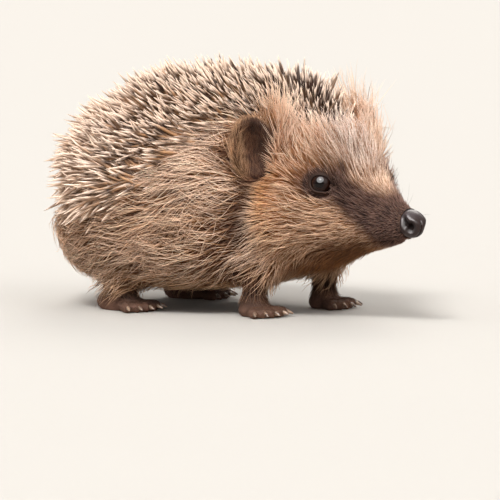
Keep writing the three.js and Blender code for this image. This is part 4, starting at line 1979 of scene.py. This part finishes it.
@dataclass
class FurPatch:
    """One piece of hair: where it grows, how much of it there is, and how its hairs differ.

    The pairs are the least and the greatest factor on a hair's length, stand-off, radius and brightness.
    """

    name: str
    layer: Layer
    count: int
    where: Callable[[Ground], Array]
    seed: int
    segments: int = 4
    slot: str = "fur"
    sides: int = 3
    tuft: int = 9
    lengths: Pair = (0.75, 1.2)
    lifts: Pair = (0.45, 1.15)
    temple_lift: float = 0.3
    ear_lift: float = 1.1
    radii: Pair = (0.8, 1.15)
    tip_radius: float = 0.4
    long_hair: Edge = Edge(4, 11)
    least_height: float = 0.15 * MM
    brightness: Pair = (0.86, 1.12)
    scatter_warmth: Triple = (0.85, 1.2, 1.7)  # how late red, green and blue rise along a hair: painted light, warming the lower hair as light scattered through the coat would
    ear_leaf: Triple = (0.32, 0.35, 0.4)
    ear_reach: Pair = (0.9, 1.6)
    crosses_ear: float = 0.1

    def build(self, ground: Ground) -> Piece:
        """Grows the hair.

        Args:
            ground: the skin.

        Returns:
            The finished piece.
        """
        rng = np.random.default_rng(self.seed)
        look = self.layer.value
        roots = ground.sow(self.count, self.where(ground), rng)
        points, normals = roots["points"], roots["normals"]
        chart = ground.chart_of(points)
        count = len(chart.at)
        ear = chart.part("ear")
        length, lift, radius = HAIR_SIZE.sizes(points, chart)
        length = length * look.length * rng.uniform(*self.lengths, count)
        least, most = self.lifts
        low = least + self.temple_lift * ramp(chart.height, 44, 54) * (1 - ramp(chart.at, 48, 56))
        lift = lift * look.lift * (low + (most - low) * rng.uniform(0, 1, count))
        lift = lift * (1 + self.ear_lift * ear * ramp(rng.uniform(0, 1, count), 0.6, 1.0))
        radius = radius * look.radius * rng.uniform(*self.radii, count)
        long_hair = self.long_hair.past(length)
        sway = (0.14 + look.crossing * long_hair) * rng.normal(size=count) + 0.3 * ripple(points, 9 * MM, 31)
        way = turned(LIE.along(points, normals, chart), normals, sway)
        curl = (0.1 + 0.2 * long_hair) * rng.normal(size=count) + 0.4 * long_hair * ripple(points, 8 * MM, 35)
        free = (chart.part("beside_ear") > 0.15) & (ear < 0.5) & (in_ears(points)[1] > 0.3)
        paths = self.combed(ground, points, normals, way, length * MM, lift * MM, curl, free)
        paths = self.gathered(paths, 0.42 * ramp(length, 2, 8) - 0.14 * long_hair)
        paths[:, :, 2] = np.maximum(paths[:, :, 2], self.least_height)
        colours = self.coloured(chart, ripple(points, 2.2 * MM, 33 + self.seed), rng)
        taper = np.linspace(1.0, self.tip_radius, self.segments)
        paths, keep = self.clear_of_ears(paths, chart, rng)
        radii = (radius[:, None] * MM * taper[None])[keep]
        obj = swept(self.name, paths[keep], radii, self.sides, colours[keep], roots["uv"][keep])
        return finished(obj, self.slot, HAIR_FINISH)

    def gathered(self, paths: Array, share: Array) -> Array:
        """Draws the tips of neighbouring hairs together into tufts.

        Args:
            paths: points along each hair.
            share: how far each hair gives way to the leader of its tuft.

        Returns:
            The changed paths.
        """
        leaders = np.arange(0, len(paths), self.tuft)
        tree = KDTree(len(leaders))
        for i, leader in enumerate(leaders):
            tree.insert(paths[leader, 0], i)
        tree.balance()
        mine = leaders[np.array([tree.find(root)[1] for root in paths[:, 0]])]
        t = np.linspace(0, 1, paths.shape[1]) ** 1.5
        pull = (paths[mine] - paths) * (share[:, None] * t[None])[:, :, None]
        return paths + pull

    def clear_of_ears(self, paths: Array, chart: Chart, rng: Chance) -> tuple[Array, Array]:
        """Shortens the hairs that hang in front of the ears, all but a few.

        Args:
            paths: points along each hair.
            chart: where the hairs grow.
            rng: the source of chance.

        Returns:
            The changed paths, and which of them are long enough to stay.
        """
        inside = np.zeros(paths.shape[:2], bool)
        aside, slant, width = self.ear_leaf
        tall, deep = self.ear_reach
        for ear in EARS:
            near = ear.local(paths)
            leaf = np.abs(near[:, :, 1] + aside + slant * near[:, :, 2]) < width
            inside |= leaf & (np.abs(near[:, :, 2]) < tall) & (np.abs(near[:, :, 0]) < deep)
        chance = rng.uniform(size=len(paths))
        held = inside.any(axis=1) & (chart.part("ear") < 0.5) & (chance > self.crosses_ear)
        share = np.where(held, np.maximum(inside.argmax(axis=1) - 0.5, 0.0) / self.segments, 1.0)
        return paths[:, :1] + (paths - paths[:, :1]) * share[:, None, None], share > 0.3

    def combed(
        self, ground: Ground, points: Array, normals: Array, way: Array,
        length: Array, lift: Array, curl: Array, free: Array,
    ) -> Array:
        """Leads each hair over the skin.

        Args:
            ground: the skin.
            points: roots.
            normals: directions the skin faces at the roots.
            way: directions the hairs set off in.
            length: their lengths, in metres.
            lift: how far their tips stand off the skin, in metres.
            curl: how far each bends sideways, in radians.
            free: which hairs run straight on instead, over the hollows of the ears.

        Returns:
            Points along each hair.
        """
        step = (length / self.segments)[:, None]
        here = points - normals * 0.15 * MM
        paths = [here]
        facing = normals
        for k in range(1, self.segments + 1):
            t = k / self.segments
            bent = turned(way, facing, curl * (t - 0.35) * 1.6)
            onto, facing = ground.nearest(paths[-1] + bent * step)
            straight = here + unit(way + 0.22 * normals) * step * k
            onto = np.where(free[:, None], straight, onto)
            facing = np.where(free[:, None], normals, facing)
            way = unit(way - facing * (way * facing).sum(axis=1, keepdims=True))
            height = lift * (1 - (1 - t) ** 1.7)
            paths.append(onto + facing * height[:, None])
        return np.stack(paths, axis=1)

    def coloured(self, chart: Chart, tuft: Array, rng: Chance) -> Array:
        """Colours along each hair, dark at the root and paler to the tip, in tufts that differ.

        Args:
            chart: where the hairs grow.
            tuft: how pale the tuft of each hair is, around 0.
            rng: the source of chance.

        Returns:
            A colour for every point of every hair.
        """
        look = self.layer.value
        count = len(chart.at)
        root, tip = MARKINGS.tones(chart)
        chance = rng.uniform(size=count)
        fleck = 0.6 + 0.9 * MARKINGS.mask(chart) + 0.3 * ramp(chart.at, 50, 62) + 0.8 * chart.part("ear")
        reach = np.clip(look.pale * (0.8 + 0.25 * tuft + fleck * (chance - 0.5)), 0.05, 1.1)
        reach = reach + 0.2 * chart.near(*MARKINGS.temple) * (1 - reach)
        goal = mix(root, tip, reach[:, None]) * look.cast
        t = np.linspace(0, 1, self.segments + 1)
        late = (0.24 * ramp(chart.at, 50, 60) * (1 - ramp(chart.height, 34, 44)))[:, None]
        rise = ramp(t[None] - late + 0.2 * (chance[:, None] - 0.5), 0.05, 0.5)
        # painted light: the lower hair is warmer, standing in for light scattered through the coat
        colour = mix(root[:, None, :], goal[:, None, :], rise[:, :, None] ** np.array(self.scatter_warmth))
        return np.clip(colour * rng.uniform(*self.brightness, count)[:, None, None], 0, 1)


@dataclass(frozen=True)
class Growth:
    """Where the hair grows, and how densely."""

    among_spines: Edge = Edge(0.5, 0.95)
    stray_share: float = 0.22
    stray_depth: Edge = Edge(6.0, 18.0)
    stray_start: Edge = Edge(46, 56)
    lid_edge: Edge = Edge(3.1, 3.5)
    nose_edge: Edge = Edge(3.3, 3.8)
    sole_facing: float = -0.4
    sole_top: float = 1.2 * MM
    face_density: Profile = Profile((4, 12, 20, 30, 45), (7.0, 4.5, 2.6, 1.4, 1.0))
    beside_ear_gain: float = 0.6
    face_end: Edge = Edge(44, 52)
    flank_start: Edge = Edge(40, 50)
    belly_top: Edge = Edge(8, 15)
    belly_share: float = 0.45
    ear_edge: Edge = Edge(0.4, 0.9)
    small_part_gain: float = 2.4

    def anywhere(self, ground: Ground) -> Array:
        """Where hair grows at all: not at the lids, behind the nose pad, on soles or among the spines.

        Args:
            ground: the skin.

        Returns:
            One share for each triangle.
        """
        keep = self.among_spines.before(MARKINGS.spined(ground.chart))
        stray = self.stray_share * self.stray_depth.before(MARKINGS.within(ground.chart))
        keep = np.maximum(keep, stray * self.stray_start.past(ground.chart.at))
        for eye in EYES:
            keep = keep * self.lid_edge.past(eye.span(ground.middle))
        keep = keep * self.nose_edge.past(ground.chart.at)
        below = (ground.facing[:, 2] < self.sole_facing) | (ground.middle[:, 2] < self.sole_top)
        return keep * (1 - ground.chart.part("foot") * below)

    def face(self, ground: Ground) -> Array:
        """Density of the hair of the face: finer and closer towards the nose.

        Args:
            ground: the skin.

        Returns:
            One share for each triangle.
        """
        chart = ground.chart
        close = self.face_density(chart.at) * (1 + self.beside_ear_gain * chart.part("beside_ear"))
        return self.anywhere(ground) * close * self.face_end.before(chart.at) * (1 - chart.part("ear"))

    def flanks(self, ground: Ground) -> Array:
        """Density of the hair of flanks and belly.

        Args:
            ground: the skin.

        Returns:
            One share for each triangle.
        """
        chart = ground.chart
        body = self.flank_start.past(chart.at)
        for part in ("ear", "foot", "tail"):
            body = body * (1 - chart.part(part))
        low = mix(np.ones_like(chart.at), self.belly_share, self.belly_top.before(chart.height))
        return self.anywhere(ground) * body * low

    def ears(self, ground: Ground) -> Array:
        """Density of the hair of the ears."""
        return self.anywhere(ground) * self.ear_edge.past(ground.chart.part("ear"))

    def limbs(self, ground: Ground) -> Array:
        """Density of the short hair of legs, feet and tail.

        Args:
            ground: the skin.

        Returns:
            One share for each triangle.
        """
        chart = ground.chart
        gain = self.small_part_gain
        small = np.maximum(gain * chart.part("foot"), gain * chart.part("tail"))
        return self.anywhere(ground) * np.maximum(chart.part("leg"), small)


GROWTH = Growth()


def one_side(where: Callable[[Ground], Array], side: Side) -> Callable[[Ground], Array]:
    """The same density, but on one side of the animal only."""
    return lambda ground: where(ground) * (ground.chart.left * side.value > 0)


@dataclass
class Whiskers:
    """Long thin feelers in rows on the sides of the muzzle; places and radius are in millimetres."""

    columns: int = 4
    rows: int = 3
    first: Pair = (10.0, 28.4)
    spacing: Pair = (2.2, 2.3)
    aside: float = 20
    lengths: Pair = (8, 17)
    rooted: float = 0.3
    segments: int = 7
    sides: int = 4
    radius: float = 0.042
    tones: tuple[str, ...] = ("c9ab8e", "2a1d17", "2a1d17")
    bends: tuple[float, ...] = (0.6, 0.25, 0.25)
    seed: int = 77

    def build(self, ground: Ground) -> Piece:
        """Makes the whiskers.

        Args:
            ground: the skin.

        Returns:
            The finished piece.
        """
        rng = np.random.default_rng(self.seed)
        paths, colours, uv = [], [], []
        for side in Side:
            for i in range(self.columns * self.rows):
                col, row = divmod(i, self.rows)
                path, patch = self.whisker(ground, side, col, row, rng)
                paths.append(path)
                uv.append(patch)
                colours.append(np.tile(shade(self.tones[row]), (self.segments + 1, 1)))
        radii = np.tile(self.radius * MM * np.linspace(1.0, 0.4, self.segments), (len(paths), 1))
        obj = swept("whiskers", np.array(paths), radii, self.sides, np.array(colours), np.array(uv))
        return finished(obj, "fur", HAIR_FINISH)

    def whisker(self, ground: Ground, side: Side, col: int, row: int, rng: Chance) -> tuple[Array, Array]:
        """Leads one whisker out of the skin, backwards and down.

        Args:
            ground: the skin.
            side: the side it grows on.
            col: its number in its row, counted from the nose.
            row: the number of its row, counted from below.
            rng: the source of chance.

        Returns:
            Its path, and its place on the map.
        """
        at = self.first[0] + self.spacing[0] * col + rng.uniform(-0.6, 0.6)
        height = self.first[1] + self.spacing[1] * row + rng.uniform(-0.4, 0.4)
        start = LINE.place(at * MM, side.value * self.aside * MM, height * MM)
        place, normal, face, _ = ground.tree.find_nearest(start)
        root, facing = np.array(place), np.array(normal)
        back = -LINE.forward(np.array([at * MM]))[0]
        backwards = rng.uniform(-0.1, 0.9)
        way = unit(facing + back * backwards + UP * (0.45 * (row - 1) + rng.uniform(-0.25, 0.25)))
        length = rng.uniform(*self.lengths) * MM
        bend = (back * self.bends[row] - UP * rng.uniform(-0.1, 0.3)) * length
        t = np.linspace(0, 1, self.segments + 1)
        path = root - facing * self.rooted * MM + np.outer(t, way * length) + np.outer(t**2, bend)
        return path, ground.uv[ground.loops[face]].mean(axis=0)


# ---- floor, light and camera ----


class LightKind(Enum):
    """Kinds of light."""

    DAYLIGHT = "SUN"
    LAMP = "AREA"


@dataclass(frozen=True)
class Light:
    """A soft light that comes from one side, which is counted as the camera's azimuth and elevation are.

    Daylight has a spread in degrees and a power in watts per square metre; a lamp has a size in metres and a
    power in watts.
    """

    name: str
    kind: LightKind
    azimuth: float
    elevation: float
    softness: float
    power: float
    colour: Triple = (1.0, 1.0, 1.0)
    lamp_distance: float = 0.9
    lamp_aim: float = 0.035

    def add(self) -> None:
        """Puts the light into the scene; a lamp only gives glints."""
        way = Vector(seen_from(self.azimuth, self.elevation))
        data = bpy.data.lights.new(self.name, self.kind.value)
        data.energy = self.power
        data.color = self.colour
        light = bpy.data.objects.new(self.name, data)
        light.matrix_world = way.to_track_quat("Z", "Y").to_matrix().to_4x4()
        if self.kind is LightKind.DAYLIGHT:
            data.angle = math.radians(self.softness)
        else:
            data.shape = "DISK"
            data.size = self.softness
            place = Vector((0, 0, self.lamp_aim)) + way * self.lamp_distance
            light.matrix_world = Matrix.Translation(place) @ light.matrix_world
            light.visible_diffuse = False
        bpy.context.scene.collection.objects.link(light)


@dataclass
class Studio:
    """A pale floor, soft lights and the camera."""

    azimuth: float = 30.0
    elevation: float = 5.0
    distance: float = 1.2
    pixels_per_mm: float = 3.4
    nose_pixel: Pair = (412.0, 222.5)
    frame_pixels: float = 500.0
    sensor: float = 36.0
    clip: Pair = (0.01, 20.0)
    floor_size: float = 60.0
    floor_faces: int = 8
    floor_tone: str = "bfbcb8"
    sky_tone: str = "faf8f5"
    sky_strength: Pair = (0.42, 1.0)
    lights: tuple[Light, ...] = (
        Light("key_light", LightKind.DAYLIGHT, 10.0, 50.0, 20.0, 2.9, (1.0, 0.975, 0.94)),
        Light("fill_light", LightKind.DAYLIGHT, 75.0, 30.0, 50.0, 0.9, (1.0, 0.98, 0.96)),
        Light("rim_light", LightKind.DAYLIGHT, 200.0, 38.0, 30.0, 1.2, (1.0, 0.96, 0.9)),
        Light("eye_glint", LightKind.LAMP, 12.0, 48.0, 1.2, 56.0),
    )

    def build(self) -> None:
        """Sets the floor, the lights, the sky and the camera."""
        self.floor()
        for light in self.lights:
            light.add()
        self.sky()
        bpy.context.scene.view_settings.view_transform = "Standard"
        self.camera()
        LOG.info("studio: floor, %d lights, sky and camera", len(self.lights))

    def floor(self) -> None:
        """Lays the floor."""
        bm = bmesh.new()
        faces = self.floor_faces
        bmesh.ops.create_grid(bm, x_segments=faces, y_segments=faces, size=self.floor_size / 2)
        floor = new_piece("floor", taken(bm, "floor"))
        made, shader = new_material("pale_floor", 1.0, 0.0)
        shader.inputs["Base Color"].default_value = (*shade(self.floor_tone), 1)
        floor.data.materials.append(made)

    def sky(self) -> None:
        """Lights the world, and more from above than from below."""
        world = bpy.context.scene.world or bpy.data.worlds.new("world")
        bpy.context.scene.world = world
        world.use_nodes = True
        nodes, links = world.node_tree.nodes, world.node_tree.links
        sky = nodes["Background"]
        sky.inputs["Color"].default_value = (*shade(self.sky_tone), 1)
        place, split, level = (
            nodes.new(kind) for kind in ("ShaderNodeTexCoord", "ShaderNodeSeparateXYZ", "ShaderNodeMapRange")
        )
        level.inputs["To Min"].default_value, level.inputs["To Max"].default_value = self.sky_strength
        links.new(place.outputs["Object"], split.inputs["Vector"])
        links.new(split.outputs["Z"], level.inputs["Value"])
        links.new(level.outputs["Result"], sky.inputs["Strength"])

    def camera(self) -> None:
        """Sets the camera so that the nose pad stands at its place in the frame."""
        turn = math.radians(self.azimuth)
        back = seen_from(self.azimuth, self.elevation)
        right = np.array([math.cos(turn), math.sin(turn), 0.0])
        over = np.cross(back, right)
        middle = self.frame_pixels / 2
        scale = MM / self.pixels_per_mm
        aside, down = self.nose_pixel
        target = centre_of("nose") + right * (middle - aside) * scale + over * (down - middle) * scale
        data = bpy.data.cameras.new("camera")
        data.sensor_width = self.sensor
        data.lens = self.sensor * self.distance / (self.frame_pixels * scale)
        data.clip_start, data.clip_end = self.clip
        cam = bpy.data.objects.new("camera", data)
        pose = np.eye(4)
        pose[:3, :3] = np.stack([right, over, back]).T
        pose[:3, 3] = target + back * self.distance
        cam.matrix_world = Matrix(pose.tolist())
        bpy.context.scene.collection.objects.link(cam)
        bpy.context.scene.camera = cam


# ---- the animal ----

FUR = (
    FurPatch("fur_face_under", Layer.UNDER, 12400, GROWTH.face, 41, segments=3),
    FurPatch("fur_face_guard_left", Layer.GUARD, 5600, one_side(GROWTH.face, Side.LEFT), 42),
    FurPatch("fur_face_guard_right", Layer.GUARD, 5600, one_side(GROWTH.face, Side.RIGHT), 52),
    FurPatch("fur_flank_under_left", Layer.UNDER, 5500, one_side(GROWTH.flanks, Side.LEFT), 43, segments=3),
    FurPatch("fur_flank_under_right", Layer.UNDER, 5500, one_side(GROWTH.flanks, Side.RIGHT), 44, segments=3),
    FurPatch("fur_flank_guard_left", Layer.GUARD, 6300, one_side(GROWTH.flanks, Side.LEFT), 45, segments=5),
    FurPatch("fur_flank_guard_right", Layer.GUARD, 6300, one_side(GROWTH.flanks, Side.RIGHT), 46, segments=5),
    FurPatch("fur_ears", Layer.SHORT, 8000, GROWTH.ears, 47, segments=3, slot="ear"),
    FurPatch("fur_limbs", Layer.SHORT, 6000, GROWTH.limbs, 48, segments=3),
)


def main() -> None:
    """Builds the hedgehog and the studio, piece by piece."""
    logging.basicConfig(level=logging.INFO, format="%(name)s: %(message)s", stream=sys.stdout)
    Studio().build()
    skin = Skin()
    ground = Ground(skin.build(), skin.trees)
    NosePad().build()
    for seat in EYES:
        EyeBall(seat).build()
    Claws().dress()
    SpineCoat(ground).build()
    for patch in FUR:
        patch.build(ground)
    Whiskers().build(ground)


if __name__ == "__main__":
    main()
